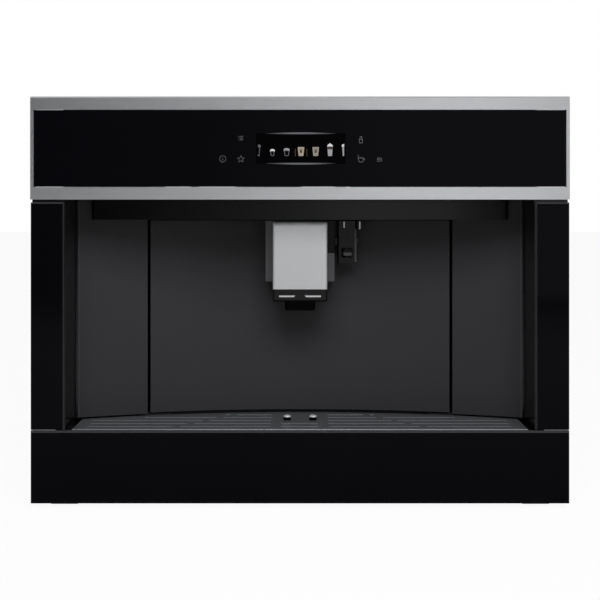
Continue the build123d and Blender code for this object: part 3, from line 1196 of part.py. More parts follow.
def lid_barrel(x, y, width):
    """A lid's hinge barrel between the ears, with a pin that runs through both."""
    for diameter, length in ((HINGE_BARREL, width - 14), (HINGE_PIN, width - 4)):
        with BuildSketch(side(x - length / 2)) as bar:
            with Locations((y, LID_AXIS_Z)):
                Circle(diameter / 2)
        extrude(bar.sketch, amount=length)


HOPPER_FLANGE = (HOPPER_WIDTH + 10, HOPPER_LENGTH + 16)
HOPPER_HINGE_Y = HOPPER_Y + HOPPER_FLANGE[1] / 2 - HINGE_BARREL / 2 - 1

with BuildPart() as bean_hopper:
    for grow, top_mode in ((0.0, Mode.ADD), (HOPPER_WALL, Mode.SUBTRACT)):
        funnel_top_z = BODY_TOP_Z - 12
        with BuildSketch(plan(funnel_top_z)) as mouth:
            with Locations((HOPPER_X, HOPPER_Y)):
                RectangleRounded(HOPPER_WIDTH - 2 * grow, HOPPER_LENGTH - 2 * grow, 10 - grow)
        with BuildSketch(plan(HOPPER_Z)) as throat:
            with Locations((HOPPER_X, HOPPER_Y)):
                RectangleRounded(
                    HOPPER_THROAT - 2 * grow, HOPPER_THROAT - 2 * grow, HOPPER_THROAT / 2 - grow - 0.5
                )
        loft(sections=[throat.sketch, mouth.sketch], mode=top_mode)
        half_x = HOPPER_WIDTH / 2 - grow
        half_y = HOPPER_LENGTH / 2 - grow
        round_block(
            (HOPPER_X - half_x, HOPPER_X + half_x),
            (HOPPER_Y - half_y, HOPPER_Y + half_y),
            (funnel_top_z, LID_Z - 1),
            10 - grow,
            top_mode,
        )
        if top_mode == Mode.ADD:
            flange_x = (HOPPER_X - HOPPER_FLANGE[0] / 2, HOPPER_X + HOPPER_FLANGE[0] / 2)
            flange_y = (HOPPER_Y - HOPPER_FLANGE[1] / 2, HOPPER_Y + HOPPER_FLANGE[1] / 2)
            round_block(flange_x, flange_y, (CASE_TOP_Z, LID_Z), 8)
            post(HOPPER_X, HOPPER_Y, (CUP_TOP_Z - 5, HOPPER_Z), HOPPER_THROAT)
        else:
            post(HOPPER_X, HOPPER_Y, (CUP_TOP_Z - 5, HOPPER_Z), HOPPER_THROAT - 2 * grow - 1, top_mode)
            round_block(
                (HOPPER_X - half_x, HOPPER_X + half_x),
                (HOPPER_Y - half_y, HOPPER_Y + half_y),
                (LID_Z - 1, LID_Z),
                10 - grow,
                top_mode,
            )
    lid_ears(HOPPER_X, HOPPER_HINGE_Y, HOPPER_FLANGE[0])
write(bean_hopper, "bean_hopper")


def lid(x, y, flange, hinge_y):
    """A flat lid over a flange, hinged at its rear edge."""
    lid_x = (x - flange[0] / 2 + 1, x + flange[0] / 2 - 1)
    lid_y = (y - flange[1] / 2 + 1, hinge_y - HINGE_BARREL / 2 - 1)
    lid_z = (LID_Z + REVEAL, LID_Z + REVEAL + LID_THICK)
    round_block(lid_x, lid_y, lid_z, 5)
    web_x = (x - flange[0] / 2 + 7, x + flange[0] / 2 - 7)
    block(web_x, (lid_y[1] - 1, hinge_y), lid_z)
    lid_barrel(x, hinge_y, flange[0])
    grip = (x - 14, x + 14)
    block(grip, (lid_y[0], lid_y[0] + 3), (lid_z[1], lid_z[1] + 2))


with BuildPart() as bean_lid:
    lid(HOPPER_X, HOPPER_Y, HOPPER_FLANGE, HOPPER_HINGE_Y)
write(bean_lid, "bean_lid")

FUNNEL_FLANGE = (FUNNEL_WIDTH + 8, FUNNEL_LENGTH + 14)
FUNNEL_HINGE_Y = BREW_Y + FUNNEL_FLANGE[1] / 2 - HINGE_BARREL / 2 - 1
FUNNEL_NECK_Z = BODY_TOP_Z - 50

with BuildPart() as powder_funnel:
    for grow, mode in ((0.0, Mode.ADD), (DUCT_WALL, Mode.SUBTRACT)):
        with BuildSketch(plan(BODY_TOP_Z - 4)) as mouth:
            with Locations((BREW_X, BREW_Y)):
                RectangleRounded(FUNNEL_WIDTH - 2 * grow, FUNNEL_LENGTH - 2 * grow, 10 - grow)
        with BuildSketch(plan(FUNNEL_NECK_Z)) as neck:
            with Locations((BREW_X, BREW_Y)):
                radius = DUCT_OUTER / 2 - grow
                RectangleRounded(2 * radius, 2 * radius, radius - 0.5)
        loft(sections=[neck.sketch, mouth.sketch], mode=mode)
        half_x = FUNNEL_WIDTH / 2 - grow
        half_y = FUNNEL_LENGTH / 2 - grow
        if mode == Mode.ADD:
            flange_x = (BREW_X - FUNNEL_FLANGE[0] / 2, BREW_X + FUNNEL_FLANGE[0] / 2)
            flange_y = (BREW_Y - FUNNEL_FLANGE[1] / 2, BREW_Y + FUNNEL_FLANGE[1] / 2)
            round_block(flange_x, flange_y, (CASE_TOP_Z, LID_Z), 8)
        round_block(
            (BREW_X - half_x, BREW_X + half_x),
            (BREW_Y - half_y, BREW_Y + half_y),
            (BODY_TOP_Z - 4, LID_Z if mode == Mode.SUBTRACT else LID_Z - 1),
            10 - grow,
            mode,
        )
        duct = DUCT_OUTER - 2 * grow
        post(BREW_X, BREW_Y, (BREW_TOP_Z + REVEAL, FUNNEL_NECK_Z + 1), duct, mode)
    lid_ears(BREW_X, FUNNEL_HINGE_Y, FUNNEL_FLANGE[0])
write(powder_funnel, "powder_funnel")

with BuildPart() as powder_lid:
    lid(BREW_X, BREW_Y, FUNNEL_FLANGE, FUNNEL_HINGE_Y)
write(powder_lid, "powder_lid")

with BuildPart() as grind_knob:
    post(KNOB_X, KNOB_Y, (CASE_TOP_Z + REVEAL, CASE_TOP_Z + 7), KNOB_DIAMETER)
    with BuildSketch(plan(CASE_TOP_Z + 2)):
        with Locations((KNOB_X, KNOB_Y)):
            with PolarLocations(KNOB_DIAMETER / 2, 18):
                Circle(1.0)
    extrude(amount=6, mode=Mode.SUBTRACT)
    block((KNOB_X - 1, KNOB_X + 1), (KNOB_Y - 11, KNOB_Y - 3), (CASE_TOP_Z + 6, CASE_TOP_Z + 8))
    post(KNOB_X, KNOB_Y, (BODY_TOP_Z - 20, CASE_TOP_Z + 1), SPINDLE)
write(grind_knob, "grind_knob")

# ---- the water side: tank, dock, pump, boilers and hoses ----
TANK_TOP_Z = BODY_TOP_Z - 2.0
VALVE_DIAMETER = 16.0
VALVE_LENGTH = 9.0
VALVE_Y = TANK_Y + TANK_LENGTH / 2 - 25.0
DOCK_LIP = 6.0

with BuildPart() as water_tank:
    round_block(TANK_X_SPAN, TANK_Y_SPAN, (TANK_Z, TANK_TOP_Z), 9)
    fillet(water_tank.faces().sort_by(Axis.Z)[0].edges(), 4)
    offset(amount=-TANK_WALL, openings=water_tank.faces().sort_by(Axis.Z)[-1])
    post(TANK_X, VALVE_Y, (TANK_Z - VALVE_LENGTH, TANK_Z + 1), VALVE_DIAMETER)
    post(TANK_X, VALVE_Y, (TANK_Z - VALVE_LENGTH, TANK_Z + 4), 8, Mode.SUBTRACT)
write(water_tank, "water_tank")

with BuildPart() as tank_lid:
    round_block(TANK_X_SPAN, TANK_Y_SPAN, (TANK_TOP_Z, TANK_TOP_Z + PLASTIC), 9)
    plug_x = (TANK_X_SPAN[0] + TANK_WALL + 0.5, TANK_X_SPAN[1] - TANK_WALL - 0.5)
    plug_y = (TANK_Y_SPAN[0] + TANK_WALL + 0.5, TANK_Y_SPAN[1] - TANK_WALL - 0.5)
    round_block(plug_x, plug_y, (TANK_TOP_Z - 3, TANK_TOP_Z), 6)
    with BuildSketch(side(TANK_X - 9)):
        with Locations((TANK_Y, TANK_TOP_Z + PLASTIC + 3)):
            RectangleRounded(86, 9, 3)
        with Locations((TANK_Y, TANK_TOP_Z + PLASTIC + 1)):
            RectangleRounded(66, 7, 2, mode=Mode.SUBTRACT)
    extrude(amount=18)
write(tank_lid, "tank_lid")

with BuildPart() as tank_dock:
    dock_x = (-INNER_HALF, -BAY_HALF)
    dock_y = (TANK_Y_SPAN[0] - 4, TANK_Y_SPAN[1] + 4)
    block(dock_x, dock_y, (TANK_Z - DOCK_HEIGHT, TANK_Z + DOCK_LIP))
    seat_x = (TANK_X_SPAN[0] - 1, TANK_X_SPAN[1] + 1)
    seat_y = (TANK_Y_SPAN[0] - 1, TANK_Y_SPAN[1] + 1)
    round_block(seat_x, seat_y, (TANK_Z, TANK_Z + DOCK_LIP), 9, Mode.SUBTRACT)
    under_x = (dock_x[0] + 3, dock_x[1] - 3)
    under_y = (dock_y[0] + 3, dock_y[1] - 3)
    block(under_x, under_y, (TANK_Z - DOCK_HEIGHT, TANK_Z - 3), Mode.SUBTRACT)
    post(TANK_X, VALVE_Y, (TANK_Z - VALVE_LENGTH - 4, TANK_Z - 2), VALVE_DIAMETER + 8)
    socket = (TANK_Z - VALVE_LENGTH - 1, TANK_Z)
    post(TANK_X, VALVE_Y, socket, VALVE_DIAMETER + 2 * SLIDE_AIR, Mode.SUBTRACT)
    post(TANK_X, VALVE_Y, (TANK_Z - VALVE_LENGTH - 16, TANK_Z - VALVE_LENGTH - 3), HOSE + 2)
write(tank_dock, "tank_dock")

PUMP_X = -150.0
PUMP_Y = 120.0
PUMP_Z = PAN_TOP_Z + 34.0
PUMP_PROFILE = ((5, -46), (5, -38), (13, -38), (13, -24), (20, -24), (20, 8), (15, 12), (15, 30))
PUMP_PROFILE += ((6, 30), (6, 42))

with BuildPart() as pump:
    with BuildSketch(Plane.XY.offset(PUMP_Z)) as pump_section:
        with BuildLine():
            points = [(PUMP_X + along, PUMP_Y + out) for out, along in PUMP_PROFILE]
            axis_ends = [(points[-1][0], PUMP_Y), (points[0][0], PUMP_Y)]
            Polyline(*points, *axis_ends, points[0])
        make_face()
    revolve(axis=Axis((PUMP_X, PUMP_Y, PUMP_Z), (1, 0, 0)))
    for saddle_x in (PUMP_X - 30, PUMP_X + 20):
        block((saddle_x - 3, saddle_x + 3), (PUMP_Y - 16, PUMP_Y + 16), (PAN_TOP_Z, PUMP_Z - 8))
write(pump, "pump")


STUB_X = BOILER_WIDTH / 2 - 5.5
STUB_IN = 12.0
STUB_LENGTH = 10.0


def boiler(x, z, height):
    """A cast heater block on the bay's rear wall, with cooling grooves and two stubs."""
    boiler_y = (BAY_REAR_Y, BAY_REAR_Y + BOILER_DEPTH)
    boiler_x = (x - BOILER_WIDTH / 2, x + BOILER_WIDTH / 2)
    slab(front(boiler_y[0]), boiler_x, (z, z + height), -BOILER_DEPTH, 8)
    with BuildSketch(front(boiler_y[1])) as grooves:
        with Locations((x, z + height / 2)):
            with GridLocations(11, 0, 7, 1):
                SlotOverall(height - 16, 5, rotation=90)
    extrude(grooves.sketch, amount=8, mode=Mode.SUBTRACT)
    with BuildSketch(front(boiler_y[1])) as stubs:
        for s in (-1, 1):
            with Locations((x + s * STUB_X, z + height / 2 + s * (height / 2 - STUB_IN))):
                Circle(HOSE / 2 + 1)
    extrude(stubs.sketch, amount=-STUB_LENGTH)


BOILER_X = -125.0
COFFEE_BOILER_Z = 212.0
COFFEE_BOILER_HEIGHT = 86.0
STEAM_BOILER_Z = 108.0
STEAM_BOILER_HEIGHT = 76.0
STUB_Y = BAY_REAR_Y + BOILER_DEPTH + STUB_LENGTH

with BuildPart() as coffee_boiler:
    boiler(BOILER_X, COFFEE_BOILER_Z, COFFEE_BOILER_HEIGHT)
write(coffee_boiler, "coffee_boiler")

with BuildPart() as steam_boiler:
    boiler(BOILER_X, STEAM_BOILER_Z, STEAM_BOILER_HEIGHT)
write(steam_boiler, "steam_boiler")

BOARD_X = INNER_HALF - 17.8
BOARD_Y = 25.0
BOARD_Z = 210.0
BOARD_LENGTH = 150.0
BOARD_HEIGHT = 160.0
BOARD_CORNER = 3.0
STANDOFF = 8.0
STANDOFF_IN = 8.0
CAN = (16.0, 24.0)
BOARD_PARTS = (  # place from the board's middle, length and height, rise off the board
    ((-45, -50), (38, 34), 30),
    ((5, -50), (24, 20), 22),
    ((45, -45), (28, 28), 26),
    ((-40, 20), (40, 16), 14),
    ((15, 15), (20, 30), 18),
    ((50, 40), (22, 14), 12),
)

with BuildPart() as power_board:
    half_length = BOARD_LENGTH / 2
    half_height = BOARD_HEIGHT / 2
    slab(
        side(BOARD_X),
        (BOARD_Y - half_length, BOARD_Y + half_length),
        (BOARD_Z - half_height, BOARD_Z + half_height),
        BOARD_SHEET,
        BOARD_CORNER,
    )
    with BuildSketch(side(BOARD_X + BOARD_SHEET)):
        with Locations((BOARD_Y, BOARD_Z)):
            with GridLocations(
                BOARD_LENGTH - 2 * STANDOFF_IN, BOARD_HEIGHT - 2 * STANDOFF_IN, 2, 2
            ):
                Circle(STANDOFF / 2)
    extrude(amount=INNER_HALF - BOARD_X - BOARD_SHEET)
    for (along, up), (part_wide, part_high), rise in BOARD_PARTS:
        with BuildSketch(side(BOARD_X)):
            with Locations((BOARD_Y + along, BOARD_Z + up)):
                Rectangle(part_wide, part_high)
        extrude(amount=-rise)
    with BuildSketch(side(BOARD_X)):
        with Locations((BOARD_Y - 15, BOARD_Z + 55)):
            with GridLocations(CAN[0] + 4, 1, 2, 1):
                Circle(CAN[0] / 2)
    extrude(amount=-CAN[1])
write(power_board, "power_board")


def hose(points, bend):
    """A round hose along straight runs joined by bends of one radius."""
    with BuildLine() as route:
        FilletPolyline(*points, radius=bend)
    start = Plane(origin=points[0], z_dir=route.line % 0)
    with BuildSketch(start) as bore:
        Circle(HOSE / 2)
    sweep(bore.sketch, path=route.line)


with BuildPart() as water_hoses:
    dock_low_z = TANK_Z - VALVE_LENGTH - 16
    pump_in_x = PUMP_X - 46
    pump_out_x = PUMP_X + 42
    hose(
        (
            (TANK_X, VALVE_Y, dock_low_z),
            (TANK_X, VALVE_Y, PUMP_Z + 60),
            (TANK_X, PUMP_Y, PUMP_Z),
            (pump_in_x, PUMP_Y, PUMP_Z),
        ),
        14,
    )
    coffee_low_z = COFFEE_BOILER_Z + STUB_IN
    hose(
        (
            (pump_out_x, PUMP_Y, PUMP_Z),
            (pump_out_x + 34, PUMP_Y, PUMP_Z),
            (pump_out_x + 34, STUB_Y + 20, coffee_low_z - 30),
            (BOILER_X - STUB_X, STUB_Y + 20, coffee_low_z),
            (BOILER_X - STUB_X, STUB_Y, coffee_low_z),
        ),
        8,
    )
    for boiler_top_z in (
        COFFEE_BOILER_Z + COFFEE_BOILER_HEIGHT - STUB_IN,
        STEAM_BOILER_Z + STEAM_BOILER_HEIGHT - STUB_IN,
    ):
        hose(
            (
                (BOILER_X + STUB_X, STUB_Y, boiler_top_z),
                (BOILER_X + STUB_X, STUB_Y + 12, boiler_top_z),
                (BOILER_X + STUB_X + 20, STUB_Y + 12, boiler_top_z + 15),
                (BOILER_X + STUB_X + 20, BAY_REAR_Y, boiler_top_z + 15),
            ),
            5,
        )
write(water_hoses, "water_hoses")

# ---- mains inlet and switch on the rear panel ----
RECESS_Z = INLET_Z - 13.0
ROCKER_Z = INLET_Z + 16.0
ROCKER_WIDTH = 18.0
ROCKER_HEIGHT = 16.0
ROCKER_PIN = 3.0
PIVOT_Y = PANEL_REAR_Y - 3.0

with BuildPart() as power_inlet:
    bezel_x = (INLET_X - INLET_WIDTH / 2, INLET_X + INLET_WIDTH / 2)
    bezel_z = (INLET_Z - INLET_HEIGHT / 2, INLET_Z + INLET_HEIGHT / 2)
    slab(front(PANEL_REAR_Y), bezel_x, bezel_z, -SCREW_HEAD_HEIGHT, 4)
    body_x = (INLET_X - INLET_INSIDE / 2, INLET_X + INLET_INSIDE / 2)
    slab(front(PANEL_REAR_Y), body_x, (bezel_z[0] + 5, bezel_z[1] - 5), 26)
    with BuildSketch(front(REAR_Y)):
        with Locations((INLET_X, RECESS_Z)):
            recess = Rectangle(24, 16.5)
        chamfer(recess.vertices().group_by(Axis.Y)[0], 4)
    extrude(amount=19, mode=Mode.SUBTRACT)
    for pin_x, pin_z in ((-7, -2), (7, -2), (0, 3)):
        slab(
            front(REAR_Y - 19.5),
            (INLET_X + pin_x - 1, INLET_X + pin_x + 1),
            (RECESS_Z + pin_z - 2, RECESS_Z + pin_z + 2),
            -16,
        )
    well = (ROCKER_WIDTH / 2 + SLIDE_AIR, ROCKER_HEIGHT / 2 + 1.2)
    slab(
        front(REAR_Y),
        (INLET_X - well[0], INLET_X + well[0]),
        (ROCKER_Z - well[1], ROCKER_Z + well[1]),
        18,
        mode=Mode.SUBTRACT,
    )
    with BuildSketch(side(INLET_X - ROCKER_WIDTH / 2 - 2.3)):
        with Locations((PIVOT_Y, ROCKER_Z)):
            Circle(ROCKER_PIN / 2 + PIN_FIT)
    extrude(amount=ROCKER_WIDTH + 4.6, mode=Mode.SUBTRACT)
write(power_inlet, "power_inlet")

with BuildPart() as mains_switch:
    with BuildSketch(Plane.YZ.offset(INLET_X - ROCKER_WIDTH / 2)):
        with BuildLine():
            top_z = ROCKER_Z + ROCKER_HEIGHT / 2
            low_z = ROCKER_Z - ROCKER_HEIGHT / 2
            Polyline(
                (PIVOT_Y - 5, ROCKER_Z - 3),
                (PIVOT_Y - 1, low_z),
                (PIVOT_Y + 4.6, low_z),
                (PIVOT_Y + 3.4, ROCKER_Z),
                (PIVOT_Y + 3.0, top_z),
                (PIVOT_Y - 2, top_z),
                (PIVOT_Y - 5, ROCKER_Z + 3),
                (PIVOT_Y - 5, ROCKER_Z - 3),
            )
        make_face()
    extrude(amount=ROCKER_WIDTH)
    with BuildSketch(side(INLET_X - ROCKER_WIDTH / 2 - 2)):
        with Locations((PIVOT_Y, ROCKER_Z)):
            Circle(ROCKER_PIN / 2)
    extrude(amount=ROCKER_WIDTH + 4)
write(mains_switch, "mains_switch")
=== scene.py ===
"""Dresses the built-in coffee machine: finishes, the display's picture, trim and the stage."""

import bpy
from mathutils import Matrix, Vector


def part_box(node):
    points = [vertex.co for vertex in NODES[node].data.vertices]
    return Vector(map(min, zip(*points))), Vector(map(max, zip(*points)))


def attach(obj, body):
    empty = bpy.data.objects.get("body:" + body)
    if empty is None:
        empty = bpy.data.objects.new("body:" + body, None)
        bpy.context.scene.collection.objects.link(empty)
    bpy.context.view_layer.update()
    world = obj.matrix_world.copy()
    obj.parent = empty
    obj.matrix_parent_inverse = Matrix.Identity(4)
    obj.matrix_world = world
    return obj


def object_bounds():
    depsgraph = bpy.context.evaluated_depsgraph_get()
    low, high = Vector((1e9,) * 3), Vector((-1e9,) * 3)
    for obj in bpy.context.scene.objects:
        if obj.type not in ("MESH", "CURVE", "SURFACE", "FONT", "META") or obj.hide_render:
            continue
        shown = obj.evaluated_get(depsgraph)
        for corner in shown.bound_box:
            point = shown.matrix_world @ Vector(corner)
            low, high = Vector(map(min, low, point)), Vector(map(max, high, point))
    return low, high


bl_info = {
    "name": "Built-in Coffee Machine",
    "version": (1, 0, 0),
    "blender": (4, 5, 0),
    "location": "View3D > Sidebar > Coffee Machine",
    "description": "Finishes, display, trim and stage of a built-in coffee machine",
    "category": "Object",
}

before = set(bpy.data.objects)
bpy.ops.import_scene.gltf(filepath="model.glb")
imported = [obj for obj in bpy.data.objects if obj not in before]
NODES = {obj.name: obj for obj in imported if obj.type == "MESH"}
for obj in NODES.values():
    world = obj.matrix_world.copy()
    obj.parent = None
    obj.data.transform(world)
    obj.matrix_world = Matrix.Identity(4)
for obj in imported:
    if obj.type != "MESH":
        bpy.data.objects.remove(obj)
CAD_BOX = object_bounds()

import functools
import math

import bmesh
import bpy
from bpy.props import FloatProperty, FloatVectorProperty, PointerProperty
from bpy.types import Operator, Panel, PropertyGroup
from mathutils import Matrix, Vector

MM = 0.001


# Places on the CAD pieces where a finish changes, in millimetres
FAR = 1000.0  # beyond every piece
CLEAR = 0.05  # keeps a finish off the face that it starts from
REVEAL_X = 257.3  # the niche's sides are painted gloss black from here outwards, as shade
REVEAL_EDGE = 2.2  # the edge of the wall beside that: smoother, and painted lighter as a highlight
CARRIER_SHADE_X = 31.0  # the carrier is painted near black as shade to the right of this
CARRIER_SHADE_Z = 279.0  # and above this
KNOB_HEIGHT = 6.1  # the grid's knobs above its sheet
NECK_HEIGHT = 2.7  # of them below their tops, which carry a painted highlight
LIP_DEPTH = 3.0  # the grid's front lip, from its foremost edge
BEVEL_HIGHLIGHT_FOOT = (84.0, 87.0)  # the glasses' bevels with a painted highlight: from height to height over the drawer
BEVEL_HIGHLIGHT_TOP = (336.5, 339.0)  # and below the control frame
BEVEL_HIGHLIGHT_SIDE = (259.0, 261.5)  # and beside the niche, from place to place on both sides
BEVEL_HIGHLIGHT_SIDE_FOOT = 87.1  # above this height
NOZZLE_TOP = 226.6  # the coffee spout is dull black below this
EDGE_HIGHLIGHT_X = 64.2  # the hot-water spout's right edge has a painted highlight from here
EDGE_HIGHLIGHT_Z = (268.0, 307.0)  # between these heights

# Trim that is only in this file, in millimetres
SUNK = 0.1  # it is sunk this far into its face, or lies this far below a recess's rim
# painted shade: a black strip in the gap below the side glasses stands in for shade
GAP_SHADE_STRIP = (268.5, 297.0, 86.45, 87.25)  # from x to x on both sides, from z to z
SHADE_STRIP_FOOT = 1.2  # behind the backs of the column glasses
SHADE_STRIP_DEPTH = 1.1
SHADE_STRIP_CORNER = 0.1
CHIN_SETBACK = 0.3  # the chin's face behind the steel's
DASH_DEPTH = 0.8  # the recesses below the steel
DASH_Z = 230.9  # the middle of the strips in them
DASH_HALF = 0.9  # half their height
DASH_NEAR = 5.2  # their inner ends at the top, from the middle
DASH_SLANT = 2.0  # how much further out the ends are at the foot
DASH_FAR = 23.9  # their outer ends
DASH_CORNER = 0.3
PIN_WIDTH = 1.6
PIN_DEPTH = 0.7
PIN_LEFT = (51.7, 308.0, 315.4)  # place, foot and top
PIN_RIGHT = (70.05, 306.4, 315.4)
WATER_INLAY = (55.8, 279.4, 9.4, 7.8, 0.8)  # place, height, size and round corners
WATER_INLAY_DEPTH = 0.4


# ---- sizes and colours that a user would change ----
def linear(hex_code):
    """An sRGB hex colour as linear red, green and blue."""
    channels = [int(hex_code[i:i + 2], 16) / 255 for i in (1, 3, 5)]
    return [c / 12.92 if c <= 0.04045 else ((c + 0.055) / 1.055) ** 2.4 for c in channels]


def colour(name, description, hex_code):
    """A colour setting whose default is an sRGB hex colour."""
    return FloatVectorProperty(
        name=name, description=description, subtype="COLOR", size=3, min=0.0, max=1.0,
        default=linear(hex_code),
    )


def length(name, description, millimetres):
    """A length setting whose default is given in millimetres."""
    return FloatProperty(
        name=name, description=description, unit="LENGTH", min=0.0, default=millimetres * MM,
    )


class MachineColours(PropertyGroup):
    """Colours of the machine's materials."""

    stainless: colour("Stainless steel", "Brushed steel of the control frame", "#b4b6b8")
    spout_steel: colour("Spout steel", "Brushed steel of the coffee spout", "#a5a6a8")
    grid_steel: colour("Grid steel", "Polished steel of the cup grid", "#9b9da1")
    black_glass: colour("Black glass", "Glass with a black printed back", "#040406")
    niche: colour("Niche plastic", "Satin plastic of the curved wall", "#29292b")
    carrier: colour("Carrier", "Plastic that carries the coffee spout", "#2e2e30")
    gloss_black: colour("Gloss black", "Gloss plastic of the bar and the spouts", "#0a0a0b")
    moulded_black: colour("Moulded black", "Textured plastic of inner mouldings", "#19191b")
    moulded_grey: colour("Moulded grey", "Plastic of the brew unit and the grinder", "#5c5e61")
    zinc: colour("Zinc", "Galvanised sheet of the case", "#a8acb0")
    rail_zinc: colour("Rail zinc", "Bright zinc on the guides", "#a3a6a8")
    powder_coat: colour("Powder coat", "Coat of the cabinet's guides", "#242629")
    cast_metal: colour("Cast aluminium", "Heaters and motor ends", "#a4a6a7")
    copper: colour("Copper", "Windings of the pump's coil", "#9a5a34")
    board: colour("Circuit board", "Green solder mask", "#1d5230")
    silicone: colour("Silicone", "Milky hoses", "#cfccc2")
    rubber: colour("Rubber", "Feet and seals", "#161616")
    tank: colour("Tank", "Tinted clear plastic of the tank", "#9aa3a8")
    hopper: colour("Hopper", "Smoky plastic of the bean hopper", "#4a4643")
    float_red: colour("Float", "Red plastic of the tray's float", "#9c2f1c")
    ceramic: colour("Ceramic", "Burr of the grinder", "#e2ddd2")
    symbols: colour("Symbols", "Printed touch symbols", "#4a4c4e")
    floor: colour("Floor", "Pale floor round the machine", "#d8d8d8")


class DisplaySizes(PropertyGroup):
    """Sizes of what the display shows."""

    screen_width: length("Screen width", "Lit window of the display", 99.0)
    screen_height: length("Screen height", "Lit window of the display", 34.0)
    screen_x: length("Screen place", "Middle of the screen, right of the machine's middle", 1.0)
    # painted reflection: the lines above and below the screen stand in for light on the bezel's
    # edges
    reflection_width: length("Trim width", "Silver line above and below the screen", 77.0)
    symbol_line: length("Line width", "Stroke of the touch symbols", 0.55)
    ink: length("Ink", "Height of what is printed on the glass", 0.04)


class StageSettings(PropertyGroup):
    """The camera, the lamps and the floor."""

    camera_distance: length("Camera distance", "From the front of the machine", 1400.0)
    camera_height: length("Camera height", "Above the shelf", 340.7)
    lens: FloatProperty(name="Lens", description="Focal length", unit="CAMERA", default=76.2)
    sky: FloatProperty(name="Sky", description="Soft light from all sides", min=0.0, default=0.22)
    key: FloatProperty(
        name="Key lamp", description="Soft box above the camera", unit="POWER", default=78.0
    )
    side: FloatProperty(
        name="Side lamp", description="Soft box to the right", unit="POWER", default=12.0
    )


def colours():
    """The colour settings of this scene."""
    return bpy.context.scene.machine_colours


# ---- helpers for materials ----
MIX_FACTOR, MIX_FIRST, MIX_SECOND, MIX_RESULT = 0, 6, 7, 2  # a Mix node's colour sockets
WHITE = (1.0, 1.0, 1.0, 1.0)


def add_node(tree, kind, inputs=None, **settings):
    """Add a node: inputs hold values or other nodes' sockets, settings are the node's own."""
    node = tree.nodes.new(kind)
    for name, value in settings.items():
        setattr(node, name, value)
    for name, value in (inputs or {}).items():
        if isinstance(value, bpy.types.NodeSocket):
            tree.links.new(value, node.inputs[name])
        else:
            node.inputs[name].default_value = value
    return node


def shade(tone, factor):
    """A colour made darker or lighter."""
    return [min(1.0, channel * factor) for channel in tone]


def opaque(tone):
    """A colour with its alpha, as a socket holds it."""
    return [*tone, 1.0]


def shader_input(material, name):
    """An input of a material's shader, by its name with or without underscores."""
    return material.node_tree.nodes["Principled BSDF"].inputs[name.replace("_", " ")]


def follow(material, pattern, dark, light, smooth, rough):
    """Let a material's colour and gloss follow a pattern between two values each."""
    tree = material.node_tree
    tone = add_node(
        tree,
        "ShaderNodeMix",
        {MIX_FACTOR: pattern, MIX_FIRST: opaque(dark), MIX_SECOND: opaque(light)},
        data_type="RGBA",
    )
    gloss = add_node(
        tree, "ShaderNodeMapRange", {"Value": pattern, "To Min": smooth, "To Max": rough}
    )
    tree.links.new(tone.outputs[MIX_RESULT], shader_input(material, "Base Color"))
    tree.links.new(gloss.outputs["Result"], shader_input(material, "Roughness"))


def grained(
    name, base, grain_mm, tint, roughness, spread, depth_mm=0.0, stretch=(1.0, 1.0, 1.0),
    **constants,
):
    """A material whose colour, gloss and height follow one grain, which may be drawn out.

    Constants go straight onto the shader's own inputs.
    """
    made = bpy.data.materials.new(name)
    made.use_nodes = True
    tree = made.node_tree
    place = add_node(tree, "ShaderNodeTexCoord")
    drawn = add_node(
        tree, "ShaderNodeMapping", {"Vector": place.outputs["Object"], "Scale": stretch}
    )
    grain = add_node(
        tree,
        "ShaderNodeTexNoise",
        {"Vector": drawn.outputs["Vector"], "Scale": 1 / (grain_mm * MM), "Detail": 3.0},
    ).outputs["Fac"]
    follow(
        made, grain, shade(base, 1 - tint), shade(base, 1 + tint),
        max(0.0, roughness - spread), roughness + spread,
    )
    if depth_mm:
        relief = add_node(tree, "ShaderNodeBump", {"Height": grain, "Distance": depth_mm * MM})
        tree.links.new(relief.outputs["Normal"], shader_input(made, "Normal"))
    for constant, value in constants.items():
        shader_input(made, constant).default_value = value
    return made


def along(material, axis, kind="Object"):
    """A place, or with kind Normal a direction, along one axis of the machine."""
    tree = material.node_tree
    place = add_node(tree, "ShaderNodeTexCoord")
    return add_node(tree, "ShaderNodeSeparateXYZ", {"Vector": place.outputs[kind]}).outputs[axis]


def where(material, axis, low_mm, high_mm, both_sides=False):
    """1 where a place on the piece lies between two distances along an axis, 0 elsewhere."""
    tree = material.node_tree
    place = along(material, axis)
    if both_sides:
        place = add_node(tree, "ShaderNodeMath", {0: place}, operation="ABSOLUTE").outputs[0]
    half = (high_mm - low_mm) / 2 * MM
    return add_node(
        tree, "ShaderNodeMath", {0: place, 1: low_mm * MM + half, 2: half}, operation="COMPARE"
    ).outputs[0]


def facing_up(material, least, most=1.1):
    """1 where the upward share of a face's direction lies between two values, 0 elsewhere."""
    upward = along(material, "Z", "Normal")
    half = (most - least) / 2
    return add_node(
        material.node_tree, "ShaderNodeMath", {0: upward, 1: least + half, 2: half},
        operation="COMPARE",
    ).outputs[0]


def blend(material, areas, tone, **values):
    """Where all areas are 1, lay another colour and other values over a finish."""
    tree = material.node_tree
    share, *others = areas
    for area in others:
        share = add_node(
            tree, "ShaderNodeMath", {0: share, 1: area}, operation="MULTIPLY"
        ).outputs[0]
    base = shader_input(material, "Base Color")
    mix = add_node(
        tree,
        "ShaderNodeMix",
        {MIX_FACTOR: share, MIX_FIRST: base.links[0].from_socket, MIX_SECOND: opaque(tone)},
        data_type="RGBA",
    )
    tree.links.new(mix.outputs[MIX_RESULT], base)
    for name, second in values.items():
        goal = shader_input(material, name)
        first = goal.links[0].from_socket if goal.is_linked else goal.default_value
        mix = add_node(tree, "ShaderNodeMix", {0: share, 2: first, 3: second})
        tree.links.new(mix.outputs[0], goal)


